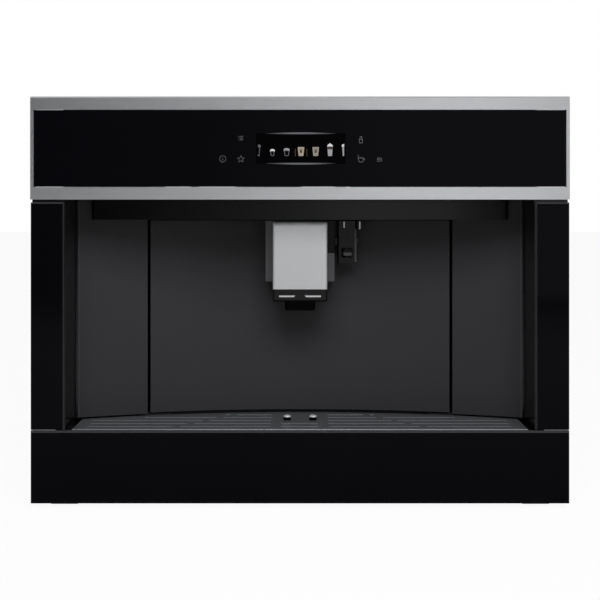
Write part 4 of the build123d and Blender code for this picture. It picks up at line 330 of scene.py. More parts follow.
# ---- the materials ----
@functools.cache
def brushed_stainless():
    """Stainless steel, belt-brushed along its width: fine scratches that pull light upright."""
    return grained(
        "brushed_stainless", colours().stainless, grain_mm=0.7, tint=0.05, roughness=0.3,
        spread=0.05, depth_mm=0.004, stretch=(0.01, 1.0, 1.0),
        Metallic=1.0, Anisotropic=0.7, Anisotropic_Rotation=0.25,
    )


@functools.cache
def satin_spout_steel():
    """Finely brushed steel sheet under a clear lacquer, which makes it look soft and even."""
    return grained(
        "satin_spout_steel", colours().spout_steel, grain_mm=0.6, tint=0.04, roughness=0.45,
        spread=0.04, depth_mm=0.003, stretch=(0.02, 1.0, 1.0),
        Metallic=0.5, Anisotropic=0.6, Anisotropic_Rotation=0.25,
    )


@functools.cache
def polished_grid_steel():
    """Polished stainless steel with wipe marks, raw punched edges and knobs painted dull black as
    shade.

    The knobs' upward faces are painted bright as a highlight.
    """
    made = grained(
        "polished_grid_steel", colours().grid_steel, grain_mm=9.0, tint=0.03, roughness=0.3,
        spread=0.03, depth_mm=0.01, stretch=(0.3, 1.0, 1.0), Metallic=0.85,
    )
    low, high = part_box("cup_grid")
    sheet_top = high.z / MM - KNOB_HEIGHT
    punched = (facing_up(made, -0.5, 0.5), where(made, "Y", low.y / MM + LIP_DEPTH, FAR))
    blend(made, punched, linear("#5e6063"), Roughness=0.6, Metallic=0.2)
    # painted shade: the knobs are made dull black
    knob_painted_shade = [where(made, "Z", sheet_top + CLEAR, FAR)]
    blend(made, knob_painted_shade, linear("#030304"), Roughness=0.5, Metallic=0.0, Specular_IOR_Level=0.03)
    # painted highlight: the knobs' upward faces are made bright and chrome-like
    cap_painted_highlight = (facing_up(made, 0.35), where(made, "Z", sheet_top + NECK_HEIGHT, FAR))
    blend(made, cap_painted_highlight, linear("#e6e7e9"), Roughness=0.3, Metallic=0.7)
    return made


def chrome(name, hex_code, haze):
    """Chrome plate on small trim: a mirror with next to no haze."""
    return grained(
        name, linear(hex_code), grain_mm=2.0, tint=0.01, roughness=haze, spread=0.01, Metallic=1.0
    )


@functools.cache
def bright_chrome():
    """Chrome as bright as a mirror, on the strips below the coffee spout."""
    return chrome("bright_chrome", "#dcdde0", 0.06)


@functools.cache
def black_chrome():
    """Darkened chrome, which shows the room in a deeper grey, on the two pins."""
    return chrome("black_chrome", "#77787b", 0.12)


def printed_glass(name):
    """Toughened glass with black print behind it: deep black, with the faintest reflections."""
    return grained(
        name, colours().black_glass, grain_mm=60.0, tint=0.1, roughness=0.05, spread=0.01,
        IOR=1.52, Specular_IOR_Level=0.03,
    )


@functools.cache
def black_printed_glass():
    """Glass that is black right up to its edges."""
    return printed_glass("black_printed_glass")


@functools.cache
def bevelled_black_glass():
    """Glass whose bevels carry a painted highlight in grey, so that these look like grey lines.

    Its upward edges are ground dull.
    """
    made = printed_glass("bevelled_black_glass")
    # painted highlight: grey, glossier bands on the bevels, where they would catch light
    for painted_bevel_highlight in (
        [where(made, "Z", *BEVEL_HIGHLIGHT_FOOT)],
        [where(made, "Z", *BEVEL_HIGHLIGHT_TOP)],
        [where(made, "X", *BEVEL_HIGHLIGHT_SIDE, True), where(made, "Z", BEVEL_HIGHLIGHT_SIDE_FOOT, FAR)],
    ):
        blend(made, painted_bevel_highlight, linear("#232325"), Roughness=0.3, Specular_IOR_Level=0.25)
    blend(
        made, [facing_up(made, 0.7)], linear("#2c2c2e"), Roughness=0.5, Specular_IOR_Level=0.01
    )
    return made


def niche_plastic(name):
    """Moulded ABS of the curved wall: a spark-eroded satin grain, drawn 0.9 mm wide to show."""
    return grained(
        name, colours().niche, grain_mm=0.9, tint=0.05, roughness=0.42, spread=0.06,
        depth_mm=0.006, IOR=1.53, Specular_IOR_Level=0.08,
    )


@functools.cache
def satin_niche_plastic():
    """The satin ABS of the wall alone, as on the service door."""
    return niche_plastic("satin_niche_plastic")


@functools.cache
def niche_plastic_painted_light():
    """The satin ABS of the wall, with a painted highlight along its edge and painted shade in gloss
    black on the step towards the front.
    """
    made = niche_plastic("niche_plastic_painted_light")
    # painted highlight: a lighter band where the wall's edge would catch light
    painted_edge_highlight = [where(made, "X", REVEAL_X - REVEAL_EDGE, REVEAL_X, True)]
    blend(made, painted_edge_highlight, shade(colours().niche, 1.8), Roughness=0.3)
    # painted shade: the step towards the front is made gloss black where it lies in shade
    reveal = [where(made, "X", REVEAL_X, FAR, True)]
    blend(made, reveal, colours().gloss_black, Roughness=0.2, Specular_IOR_Level=0.2)
    return made


@functools.cache
def carrier_plastic():
    """Semi-gloss dark ABS of the spout's carrier, with painted shade in gloss black round the
    hot-water spout.
    """
    made = grained(
        "carrier_plastic", colours().carrier, grain_mm=12.0, tint=0.05, roughness=0.3,
        spread=0.04, depth_mm=0.004, IOR=1.53, Specular_IOR_Level=0.35,
    )
    # painted shade: the carrier's upper right beside the hot-water spout is made near black
    carrier_shade = (where(made, "X", CARRIER_SHADE_X, FAR), where(made, "Z", CARRIER_SHADE_Z, FAR))
    blend(made, carrier_shade, linear("#020203"), Roughness=0.12, Specular_IOR_Level=0.08)
    return made


def gloss_plastic(name, reflection=0.15):
    """Black ABS from a polished mould: a deep gloss with a long, faint ripple."""
    return grained(
        name, colours().gloss_black, grain_mm=30.0, tint=0.08, roughness=0.16, spread=0.03,
        depth_mm=0.002, IOR=1.53, Specular_IOR_Level=reflection,
    )


@functools.cache
def gloss_black_abs():
    """The gloss black ABS alone, as on the bar and the release buttons."""
    return gloss_plastic("gloss_black_abs")


@functools.cache
def coffee_spout_plastic():
    """Gloss black ABS, with the coffee spout's nozzle in dull black."""
    made = gloss_plastic("coffee_spout_plastic")
    nozzle = [where(made, "Z", 0.0, NOZZLE_TOP)]
    blend(made, nozzle, linear("#060607"), Roughness=0.5, Specular_IOR_Level=0.03)
    return made


@functools.cache
def water_spout_plastic():
    """Gloss black ABS, with a painted highlight in grey along the hot-water spout's right edge."""
    made = gloss_plastic("water_spout_plastic", reflection=0.12)
    # painted highlight: a grey band where the right edge would catch light
    painted_edge_highlight = (where(made, "X", EDGE_HIGHLIGHT_X, FAR), where(made, "Z", *EDGE_HIGHLIGHT_Z))
    blend(made, painted_edge_highlight, shade(colours().carrier, 2.2), Roughness=0.3)
    return made


@functools.cache
def textured_black_plastic():
    """Glass-filled plastic of inner mouldings, with a dull leathery grain a millimetre wide."""
    return grained(
        "textured_black_plastic", colours().moulded_black, grain_mm=1.2, tint=0.12,
        roughness=0.55, spread=0.08, depth_mm=0.02, IOR=1.5,
    )


@functools.cache
def moulded_grey_plastic():
    """Grey acetal and ABS of working parts, with faint flow marks."""
    return grained(
        "moulded_grey_plastic", colours().moulded_grey, grain_mm=6.0, tint=0.06, roughness=0.42,
        spread=0.06, depth_mm=0.01, IOR=1.5,
    )


@functools.cache
def galvanised_sheet():
    """Hot-dip zinc on steel sheet: flat crystals about 14 mm wide, each with its own grey."""
    made = grained(
        "galvanised_sheet", colours().zinc, grain_mm=3.0, tint=0.03, roughness=0.4, spread=0.04,
        depth_mm=0.003, Metallic=0.85,
    )
    tree = made.node_tree
    place = add_node(tree, "ShaderNodeTexCoord")
    crystals = add_node(
        tree,
        "ShaderNodeTexVoronoi",
        {"Vector": place.outputs["Object"], "Scale": 1 / (14.0 * MM)},
    )
    grey = add_node(tree, "ShaderNodeRGBToBW", {"Color": crystals.outputs["Color"]})
    zinc = colours().zinc
    follow(made, grey.outputs["Val"], shade(zinc, 0.88), shade(zinc, 1.1), 0.34, 0.5)
    return made


@functools.cache
def zinc_plated_rail():
    """Rolled steel with bright zinc: streaks drawn along the rail."""
    return grained(
        "zinc_plated_rail", colours().rail_zinc, grain_mm=1.5, tint=0.08, roughness=0.28,
        spread=0.06, depth_mm=0.004, stretch=(1.0, 0.03, 1.0), Metallic=1.0,
    )


@functools.cache
def black_oxide_steel():
    """Turned pins with a black oxide: dark, with a faint oily sheen."""
    return grained(
        "black_oxide_steel", linear("#151517"), grain_mm=1.0, tint=0.1, roughness=0.4,
        spread=0.05, depth_mm=0.003, stretch=(1.0, 1.0, 0.05), Metallic=0.6,
    )


@functools.cache
def powder_coated_steel():
    """Dark powder coat with the orange-peel ripple of 2 mm that baking leaves."""
    return grained(
        "powder_coated_steel", colours().powder_coat, grain_mm=2.0, tint=0.05, roughness=0.45,
        spread=0.05, depth_mm=0.02, IOR=1.5,
    )


@functools.cache
def cast_aluminium():
    """Die-cast aluminium: a dull skin with a rough, cloudy grain."""
    return grained(
        "cast_aluminium", colours().cast_metal, grain_mm=2.5, tint=0.12, roughness=0.5,
        spread=0.1, depth_mm=0.05, Metallic=0.9,
    )


@functools.cache
def motor_can():
    """Drawn and zinc-plated can of a small motor, with rings from drawing."""
    return grained(
        "motor_can", linear("#83878b"), grain_mm=1.5, tint=0.1, roughness=0.35, spread=0.05,
        depth_mm=0.01, stretch=(0.05, 0.05, 1.0), Metallic=1.0,
    )


@functools.cache
def pump_coil():
    """Lacquered copper winding of the pump: a warm metal with a fine, uneven grain."""
    return grained(
        "pump_coil", colours().copper, grain_mm=1.0, tint=0.15, roughness=0.4, spread=0.05,
        depth_mm=0.02, Metallic=0.7,
    )


@functools.cache
def circuit_board():
    """Green solder mask over copper: strips of 11 mm in rows 2.4 mm apart."""
    made = grained(
        "circuit_board", colours().board, grain_mm=4.0, tint=0.2, roughness=0.35, spread=0.05
    )
    tree = made.node_tree
    place = add_node(tree, "ShaderNodeTexCoord")
    tracks = add_node(
        tree,
        "ShaderNodeTexBrick",
        {
            "Vector": place.outputs["Object"],
            "Color1": opaque(shade(colours().board, 0.8)),
            "Color2": opaque(shade(colours().board, 1.3)),
            "Mortar": opaque(linear("#3b7a3e")),
            "Scale": 1.0,
            "Mortar Size": 0.3 * MM,
            "Brick Width": 11.0 * MM,
            "Row Height": 2.4 * MM,
        },
    )
    tree.links.new(tracks.outputs["Color"], shader_input(made, "Base Color"))
    return made


@functools.cache
def milky_silicone():
    """Silicone hose: milky, with a soft waxy gloss."""
    return grained(
        "milky_silicone", colours().silicone, grain_mm=8.0, tint=0.04, roughness=0.45,
        spread=0.05, depth_mm=0.005, Subsurface_Weight=0.2, Subsurface_Scale=2.0 * MM,
    )


@functools.cache
def black_rubber():
    """Moulded rubber: nearly black, dull, with a dusty grain."""
    return grained(
        "black_rubber", colours().rubber, grain_mm=0.8, tint=0.2, roughness=0.7, spread=0.08,
        depth_mm=0.02,
    )


@functools.cache
def tinted_tank_plastic():
    """Clear SAN plastic with a grey tint, moulded with a light haze."""
    return grained(
        "tinted_tank_plastic", colours().tank, grain_mm=20.0, tint=0.03, roughness=0.12,
        spread=0.03, Transmission_Weight=0.85, IOR=1.57,
    )


@functools.cache
def smoky_hopper_plastic():
    """Clear plastic with a brown smoke tint, as bean hoppers have."""
    return grained(
        "smoky_hopper_plastic", colours().hopper, grain_mm=20.0, tint=0.03, roughness=0.15,
        spread=0.03, Transmission_Weight=0.6, IOR=1.57,
    )


@functools.cache
def red_float_plastic():
    """Red polypropylene of the float, slightly waxy."""
    return grained(
        "red_float_plastic", colours().float_red, grain_mm=5.0, tint=0.06, roughness=0.35,
        spread=0.05, depth_mm=0.005,
    )


@functools.cache
def white_ceramic():
    """Sintered ceramic of the burr: off-white and dense, with a ground surface."""
    return grained(
        "white_ceramic", colours().ceramic, grain_mm=1.0, tint=0.05, roughness=0.38,
        spread=0.06, depth_mm=0.01,
    )


@functools.cache
def printed_symbol():
    """Grey print behind the glass, lit from behind at a low level."""
    return grained(
        "printed_symbol", colours().symbols, grain_mm=3.0, tint=0.03, roughness=0.4, spread=0.02,
        Emission_Color=opaque(colours().symbols), Emission_Strength=0.2, Specular_IOR_Level=0.05,
    )


def lit_ink(name, hex_code, unlit=None):
    """A colour of the display's picture, lit from behind and seen through coated glass."""
    tone = linear(hex_code)
    return grained(
        name, unlit or shade(tone, 0.1), grain_mm=1.2, tint=0.06, roughness=0.3, spread=0.02,
        Emission_Color=opaque(tone), Emission_Strength=1.0, Specular_IOR_Level=0.02,
    )


# ---- helpers for pieces ----
MERGE_DISTANCE = 1e-7  # metres
ROUND_END = 0.98  # of half a bar's height, so that its corners don't meet


def dress(names, material):
    """Give CAD pieces a finish through their material slots."""
    for name in names:
        for slot in NODES[name].material_slots:
            slot.material = material


def to_object(name, build, material):
    """Turn a finished bmesh into an object with one material."""
    mesh = bpy.data.meshes.new(name)
    build.to_mesh(mesh)
    build.free()
    mesh.materials.append(material)
    made = bpy.data.objects.new(name, mesh)
    bpy.context.scene.collection.objects.link(made)
    return made


def add_trim(name, shapes, foot_y, height_mm, material, body):
    """Raise flat shapes towards the front as one thin piece that rides on a body."""
    build = bmesh.new()
    for shape in shapes:
        spare = bpy.data.meshes.new("spare")
        shape.to_mesh(spare)
        shape.free()
        build.from_mesh(spare)
        bpy.data.meshes.remove(spare)
    grown = bmesh.ops.extrude_face_region(build, geom=build.faces[:])
    raised = [e for e in grown["geom"] if isinstance(e, bmesh.types.BMVert)]
    bmesh.ops.translate(build, verts=raised, vec=(0.0, -height_mm * MM, 0.0))
    bmesh.ops.translate(build, verts=build.verts[:], vec=(0.0, foot_y, 0.0))
    bmesh.ops.remove_doubles(build, verts=build.verts[:], dist=MERGE_DISTANCE)
    bmesh.ops.recalc_face_normals(build, faces=build.faces[:])
    piece = to_object(name, build, material)
    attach(piece, body)


def hollow(shape, line):
    """Leave a line along the outline of a flat shape."""
    inner = shape.faces[:]
    bmesh.ops.inset_region(
        shape, faces=inner, thickness=line * MM, use_boundary=True, use_even_offset=True
    )
    bmesh.ops.delete(shape, geom=inner, context="FACES")


def printed_shape(points, corner=0.0, line=0.0):
    """A flat shape on the front: points in millimetres, round corners, drawn as a line if asked."""
    shape = bmesh.new()
    verts = [shape.verts.new((x * MM, 0.0, z * MM)) for x, z in points]
    shape.faces.new(verts)
    if corner:
        bmesh.ops.bevel(
            shape, geom=verts, offset=corner * MM, segments=5, profile=0.5, affect="VERTICES",
            material=-1,
        )
    if line:
        hollow(shape, line)
    return shape


def printed_disc(x, z, radius, line=0.0, segments=32, inner=1.0):
    """A disc, a ring or, with an inner share under 1, a star on the front."""
    shape = bmesh.new()
    centre = Vector((x * MM, 0.0, z * MM))
    upright = Matrix.Translation(centre) @ Matrix.Rotation(math.pi / 2, 4, "X")
    bmesh.ops.create_circle(
        shape, cap_ends=True, segments=segments, radius=radius * MM, matrix=upright
    )
    for vert in shape.verts[:][1::2]:  # the first one is at the top
        vert.co = centre + (vert.co - centre) * inner
    if line:
        hollow(shape, line)
    return shape


def bar(x, z, width, height, corner=None):
    """A printed bar with round ends."""
    half_x, half_z = width / 2, height / 2
    radius = min(half_x, half_z) * ROUND_END if corner is None else corner
    points = (
        (x - half_x, z - half_z), (x + half_x, z - half_z),
        (x + half_x, z + half_z), (x - half_x, z + half_z),
    )
    return printed_shape(points, radius)


def print_on_glass(name, shapes, material, lift=0.0):
    """Lay flat shapes on the control glass as one thin piece."""
    ink = bpy.context.scene.display_sizes.ink / MM
    glass_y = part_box("control_glass")[0].y
    add_trim(name, shapes, glass_y - lift * MM, ink, material, "machine")


# ---- the front ----
class COFFEE_OT_front(Operator):
    """Finish the steel frame and the four glasses of the front, and put painted shade in the gap at
    their foot
    """

    bl_idname = "coffee.front"
    bl_label = "Front"

    def execute(self, context):
        dress(["control_frame"], brushed_stainless())
        dress(["control_glass"], black_printed_glass())
        dress(["column_glass_left", "column_glass_right", "bottom_glass"], bevelled_black_glass())
        self.add_gap_shade_strips()
        return {"FINISHED"}

    def add_gap_shade_strips(self):
        """Black rubber strips below the side mouldings, put there as painted shade, so that no
        light shows over the drawer's front.
        """
        near, far, low, high = GAP_SHADE_STRIP
        shade_strips = [
            bar(side * (near + far) / 2, (low + high) / 2, far - near, high - low, SHADE_STRIP_CORNER)
            for side in (-1, 1)
        ]
        foot_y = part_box("column_glass_left")[1].y + SHADE_STRIP_FOOT * MM
        add_trim("gap_shade_strips", shade_strips, foot_y, SHADE_STRIP_DEPTH, black_rubber(), "machine")


class COFFEE_OT_niche(Operator):
    """Finish the curved wall, the side mouldings, the ceiling and the bar"""

    bl_idname = "coffee.niche"
    bl_label = "Niche"

    def execute(self, context):
        dress(["niche_side_left", "niche_side_right"], niche_plastic_painted_light())
        dress(["service_door"], satin_niche_plastic())
        dress(["visor_bar"], gloss_black_abs())
        dress(["niche_ceiling", "service_bay"], textured_black_plastic())
        dress(["door_pins"], black_oxide_steel())
        return {"FINISHED"}


class COFFEE_OT_spouts(Operator):
    """Finish the coffee spout, its carrier and the hot-water spout, and add their bright inlays"""

    bl_idname = "coffee.spouts"
    bl_label = "Spouts"

    def execute(self, context):
        dress(["spout_cover"], satin_spout_steel())
        dress(["spout_carrier"], carrier_plastic())
        dress(["spout_body"], coffee_spout_plastic())
        dress(["hot_water_spout"], water_spout_plastic())
        dress(["release_button_left", "release_button_right"], gloss_black_abs())
        self.add_chin_inlays()
        face_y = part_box("hot_water_spout")[0].y + SUNK * MM
        self.add_pin("water_pin_left", PIN_LEFT, face_y, "hot_water_spout")
        self.add_pin("water_pin_right", PIN_RIGHT, face_y, "service_door")
        self.add_water_inlay(face_y)
        return {"FINISHED"}

    def add_chin_inlays(self):
        """Two chrome strips in the recesses below the steel, with slanted inner ends."""
        low, high = DASH_Z - DASH_HALF, DASH_Z + DASH_HALF
        strips = []
        for s in (-1, 1):
            strip = (
                (s * DASH_FAR, low), (s * (DASH_NEAR + DASH_SLANT), low),
                (s * DASH_NEAR, high), (s * DASH_FAR, high),
            )
            strips.append(printed_shape(strip, DASH_CORNER))
        foot_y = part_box("spout_cover")[0].y + (CHIN_SETBACK + DASH_DEPTH) * MM
        add_trim(
            "chin_inlays", strips, foot_y, DASH_DEPTH - SUNK, bright_chrome(),
            "coffee_spout",
        )

    def add_pin(self, name, place, face_y, body):
        """A chrome pin on the hot-water spout, or on the carrier's horn beside it."""
        x, low_z, high_z = place
        pin = bar(x, (low_z + high_z) / 2, PIN_WIDTH, high_z - low_z)
        add_trim(name, [pin], face_y, PIN_DEPTH, black_chrome(), body)

    def add_water_inlay(self, face_y):
        """A grey inlay over the two outlets of the hot-water spout."""
        add_trim(
            "water_inlay", [bar(*WATER_INLAY)], face_y, WATER_INLAY_DEPTH, carrier_plastic(),
            "hot_water_spout",
        )


class COFFEE_OT_cup_grid(Operator):
    """Finish the cup grid"""

    bl_idname = "coffee.cup_grid"
    bl_label = "Cup Grid"

    def execute(self, context):
        dress(["cup_grid"], polished_grid_steel())
        return {"FINISHED"}


# What the screen shows, in millimetres from the machine's middle and above the shelf
SCREEN_Z = 397.5
SCREEN_CORNER = 1.5
ARC_RISE = 16.8  # of the painted reflections from the screen's middle
ARC_SAG = 0.5  # how much nearer to it their ends are
ARC_HALF = 0.9  # half the lines' greatest thickness
ARC_POINT = 0.08  # half the thickness of their ends
ARC_FADE = (0.15, 0.5, 0.9, 0.08)  # from share to share of their width, from level to level
ARC_UNLIT = (0.02, 0.02, 0.02)
# grey of the painted reflections
REFLECTION_GREY = "#5b5c60"
INK_STEP = 0.01  # each ink lies above the one before it
CUP_FOOT_Z = 389.2
INKS = {
    "white_foam": "#c6c6c7",
    "grey_foam": "#8f8f92",
    "outline": "#55565a",
    "cream": "#968c80",
    "oat": "#86817b",
    "coffee": "#41342c",
    "mark": "#4c392d",
    "milk": "#8f8f91",
}
FULL_CUP = ((-2.6, 0.0), (2.6, 0.0), (3.492, 7.9), (3.6, 9.9), (-3.6, 9.9), (-3.492, 7.9))
# Outlines of the drinks: ink, place of the middle, round corners, width where only a line is
# drawn, and points from the middle of the drink's foot; the screen's edges cut the first and
# the last drink
OUTLINES = (
    ("outline", -30.4, 1.2, 0.8, ((-1.84, 0.0), (1.84, 0.0), (2.3, 5.6), (-2.3, 5.6))),
    (
        "white_foam", -30.4, 0.4, 0.0,
        ((-2.65, 4.8), (2.65, 4.8), (2.226, 7.0), (1.06, 7.7), (-1.06, 7.7), (-2.226, 7.0)),
    ),
    ("outline", -14.7, 1.2, 0.8, ((-2.32, 0.0), (2.32, 0.0), (2.9, 6.4), (-2.9, 6.4))),
    (
        "grey_foam", -14.7, 0.4, 0.0,
        ((-3.45, 5.6), (3.45, 5.6), (2.898, 7.9), (1.38, 8.6), (-1.38, 8.6), (-2.898, 7.9)),
    ),
    ("cream", 1.1, 0.5, 0.0, FULL_CUP),
    ("oat", 17.3, 0.5, 0.0, FULL_CUP),
    (
        "white_foam", 33.1, 0.5, 0.0,
        ((-3.3, 10.6), (3.3, 10.6), (2.6, 12.2), (0.0, 14.2), (-2.6, 12.2)),
    ),
    ("outline", 33.1, 0.0, 0.0, ((-2.75, 7.2), (2.75, 7.2), (3.1, 10.6), (-3.1, 10.6))),
    ("milk", 33.1, 0.4, 0.0, ((-2.1, 0.0), (2.1, 0.0), (2.75, 7.2), (-2.75, 7.2))),
    ("outline", -45.0, 0.0, 0.0, ((-0.6, 1.0), (0.1, 1.0), (1.2, 10.4), (0.4, 10.4))),
    ("white_foam", 47.4, 0.3, 0.0, ((-1.6, 10.4), (1.3, 10.4), (1.3, 13.4), (-0.8, 12.6))),
    ("milk", 47.4, 0.0, 0.0, ((-0.2, 0.0), (1.2, 0.0), (1.2, 10.4), (-0.9, 10.4))),
)
# Bars in the drinks: ink, place, height of the middle, width, height, corners if not fully round
BARS = (
    ("coffee", 1.1, 5.0, 2.4, 3.2, 0.7),
    ("mark", 1.1, 7.4, 4.4, 0.5, None),
    ("coffee", 17.3, 5.0, 2.4, 3.2, 0.7),
    ("mark", 17.3, 7.4, 4.4, 0.5, None),
    ("mark", -5.2, 3.8, 0.7, 8.4, None),
    ("mark", 7.5, 3.8, 0.7, 8.4, None),
    ("coffee", 33.1, 8.8, 4.2, 2.2, 0.4),
    ("outline", -45.5, 0.6, 2.4, 1.3, None),
)
ROUND_TOP = (-44.9, 11.0, 1.7)  # place, height and radius of the first drink's round top


class COFFEE_OT_display(Operator):
    """Show the screen with the painted reflections above and below it, and seven drinks"""

    bl_idname = "coffee.display"
    bl_label = "Display"

    def execute(self, context):
        sizes = context.scene.display_sizes
        dress(["display_module"], circuit_board())
        screen_x = sizes.screen_x / MM
        width, height = sizes.screen_width / MM, sizes.screen_height / MM
        screen = bar(screen_x, SCREEN_Z, width, height, SCREEN_CORNER)
        print_on_glass("display_screen", [screen], lit_ink("dark_screen", "#010102"))
        ink = sizes.ink / MM
        self.add_painted_reflections(screen_x, sizes.reflection_width / MM, ink)
        for rank, (name, shapes) in enumerate(self.drawn_drinks().items()):
            material = lit_ink(name, INKS[name])
            print_on_glass(f"drinks_{name}", shapes, material, ink + INK_STEP * rank)
        return {"FINISHED"}

    def add_painted_reflections(self, screen_x, width, lift):
        """Painted reflections above and below the screen, as glowing grey lines: straight outside,
        bowed inside, pointed ends.
        """
        shapes = []
        for side in (-1, 1):
            line = bmesh.new()
            bmesh.ops.create_grid(line, x_segments=24, y_segments=2, size=0.5)
            for vert in line.verts:
                share = vert.co.x * 2
                thick = ARC_HALF * (1 - share**2) + ARC_POINT
                z = SCREEN_Z + side * (ARC_RISE - ARC_SAG * share**2) + vert.co.y * 2 * thick
                vert.co = Vector(((screen_x + share * width / 2) * MM, 0.0, z * MM))
            shapes.append(line)
        # the painted reflections glow, fading towards their ends
        made = lit_ink("painted_reflection_lines", REFLECTION_GREY, ARC_UNLIT)
        tree = made.node_tree
        place = add_node(
            tree, "ShaderNodeMath", {0: along(made, "X"), 1: screen_x * MM}, operation="SUBTRACT"
        )
        away = add_node(tree, "ShaderNodeMath", {0: place.outputs[0]}, operation="ABSOLUTE")
        near, far, bright, dim = ARC_FADE
        fade = add_node(
            tree,
            "ShaderNodeMapRange",
            {
                "Value": away.outputs[0],
                "From Min": near * width * MM,
                "From Max": far * width * MM,
                "To Min": bright,
                "To Max": dim,
            },
        )
        tree.links.new(fade.outputs["Result"], shader_input(made, "Emission Strength"))
        print_on_glass("screen_reflection_lines", shapes, made, lift)

    def drawn_drinks(self):
        """The flat shapes of the drinks, by their ink."""
        inks = {name: [] for name in INKS}
        for ink, middle, corner, line, points in OUTLINES:
            placed = [(middle + x, CUP_FOOT_Z + z) for x, z in points]
            inks[ink].append(printed_shape(placed, corner, line))
        for ink, x, z, width, height, corner in BARS:
            inks[ink].append(bar(x, CUP_FOOT_Z + z, width, height, corner))
        x, z, radius = ROUND_TOP
        inks["outline"].append(printed_disc(x, CUP_FOOT_Z + z, radius))
        return inks


# Places of the touch symbols, in millimetres from the machine's middle and above the shelf
MENU_AT = (-65.3, 408.9)
INFO_AT = (-85.2, 386.0)
STAR_AT = (-65.1, 385.8)
LOCK_AT = (67.2, 407.0)
JUG_AT = (67.3, 385.8)
STEAM_AT = (87.5, 385.3)


class COFFEE_OT_touch_symbols(Operator):
    """Print the six touch symbols beside the screen"""

    bl_idname = "coffee.touch_symbols"
    bl_label = "Touch Symbols"

    def execute(self, context):
        line = context.scene.display_sizes.symbol_line / MM
        shapes = []
        x, z = MENU_AT
        for rise in (-1.8, 0.0, 1.8):
            shapes += [bar(x + 0.7, z + rise, 3.8, line), bar(x - 2.3, z + rise, line, line)]
        x, z = INFO_AT
        shapes += [
            printed_disc(x, z, 3.7, line * 0.8),
            bar(x, z - 0.6, line, 2.6), bar(x, z + 1.6, line, line),
        ]
        x, z = STAR_AT
        shapes.append(printed_disc(x, z, 4.4, line * 0.7, segments=10, inner=0.45))
        x, z = LOCK_AT
        body = ((x - 2.0, z - 3.6), (x + 2.0, z - 3.6), (x + 2.0, z + 1.0), (x - 2.0, z + 1.0))
        shapes += [
            printed_shape(body, 0.6, line), bar(x - 1.1, z + 2.1, line, 2.6),
            bar(x + 1.1, z + 2.1, line, 2.6), bar(x, z + 3.4, 2.7, line),
        ]
        x, z = JUG_AT
        jug = (
            (x - 2.4, z - 3.4), (x + 2.2, z - 3.4), (x + 3.2, z + 1.6), (x - 1.6, z + 1.6),
            (x - 3.0, z + 2.6), (x - 3.4, z + 1.4),
        )
        shapes += [
            printed_shape(jug, 0.5, line), bar(x + 4.0, z - 0.4, line, 2.4),
            bar(x - 3.0, z + 3.9, 1.3, 1.0),
        ]
        x, z = STEAM_AT
        shapes += [bar(x - 0.6, z + rise, 4.2, line) for rise in (-1.7, 0.0, 1.7)]
        shapes.append(bar(x + 2.6, z, line, 4.0))
        print_on_glass("touch_symbols", shapes, printed_symbol())
        return {"FINISHED"}


# ---- the drawer, the case and what is inside ----
class COFFEE_OT_drawer(Operator):
    """Finish the drip drawer: front, tray, container, float and runners"""

    bl_idname = "coffee.drawer"
    bl_label = "Drip Drawer"

    def execute(self, context):
        dress(["drawer_front", "drip_tray", "grounds_container"], textured_black_plastic())
        dress(["drawer_runners"], moulded_grey_plastic())
        dress(["tray_float"], red_float_plastic())
        return {"FINISHED"}


class COFFEE_OT_case(Operator):
    """Finish the case, its screws and feet, and the guides"""

    bl_idname = "coffee.case"
    bl_label = "Case and Guides"

    def execute(self, context):
        sheets = ["base_pan", "side_panel_left", "side_panel_right", "rear_panel", "top_panel"]
        dress(sheets, galvanised_sheet())
        rails = ["machine_rail_left", "machine_rail_right", "middle_rail_left", "middle_rail_right"]
        dress(rails + ["panel_screws"], zinc_plated_rail())
        dress(["cabinet_rail_left", "cabinet_rail_right"], powder_coated_steel())
        dress(["bench_feet"], black_rubber())
        dress(["power_inlet", "mains_switch"], textured_black_plastic())
        return {"FINISHED"}


class COFFEE_OT_brew_unit(Operator):
    """Finish the brew unit and the grinder"""

    bl_idname = "coffee.brew_unit"
    bl_label = "Brew Unit and Grinder"

    def execute(self, context):
        dress(["brew_frame", "brew_drive", "powder_funnel", "powder_lid"], textured_black_plastic())
        dress(["brew_chamber", "brew_piston", "grinder_housing"], moulded_grey_plastic())
        dress(["grinder_burr"], white_ceramic())
        dress(["grinder_motor"], motor_can())
        dress(["bean_hopper"], smoky_hopper_plastic())
        dress(["bean_lid", "grind_knob"], textured_black_plastic())
        return {"FINISHED"}


class COFFEE_OT_water_side(Operator):
    """Finish the tank, its dock, the pump, the heaters, the hoses and the power board"""

    bl_idname = "coffee.water_side"
    bl_label = "Water and Power"

    def execute(self, context):
        dress(["water_tank"], tinted_tank_plastic())
        dress(["tank_lid", "tank_dock"], textured_black_plastic())
        dress(["coffee_boiler", "steam_boiler"], cast_aluminium())
        dress(["pump"], pump_coil())
        dress(["water_hoses"], milky_silicone())
        dress(["power_board"], circuit_board())
        return {"FINISHED"}


# ---- the stage ----
FLOOR_HALF = 12.0  # metres
FLOOR_DROP = 0.0005  # below the shelf, so that nothing lies in its plane
PAPER_SHARE = 0.94  # how much of the floor the camera sees as plain white
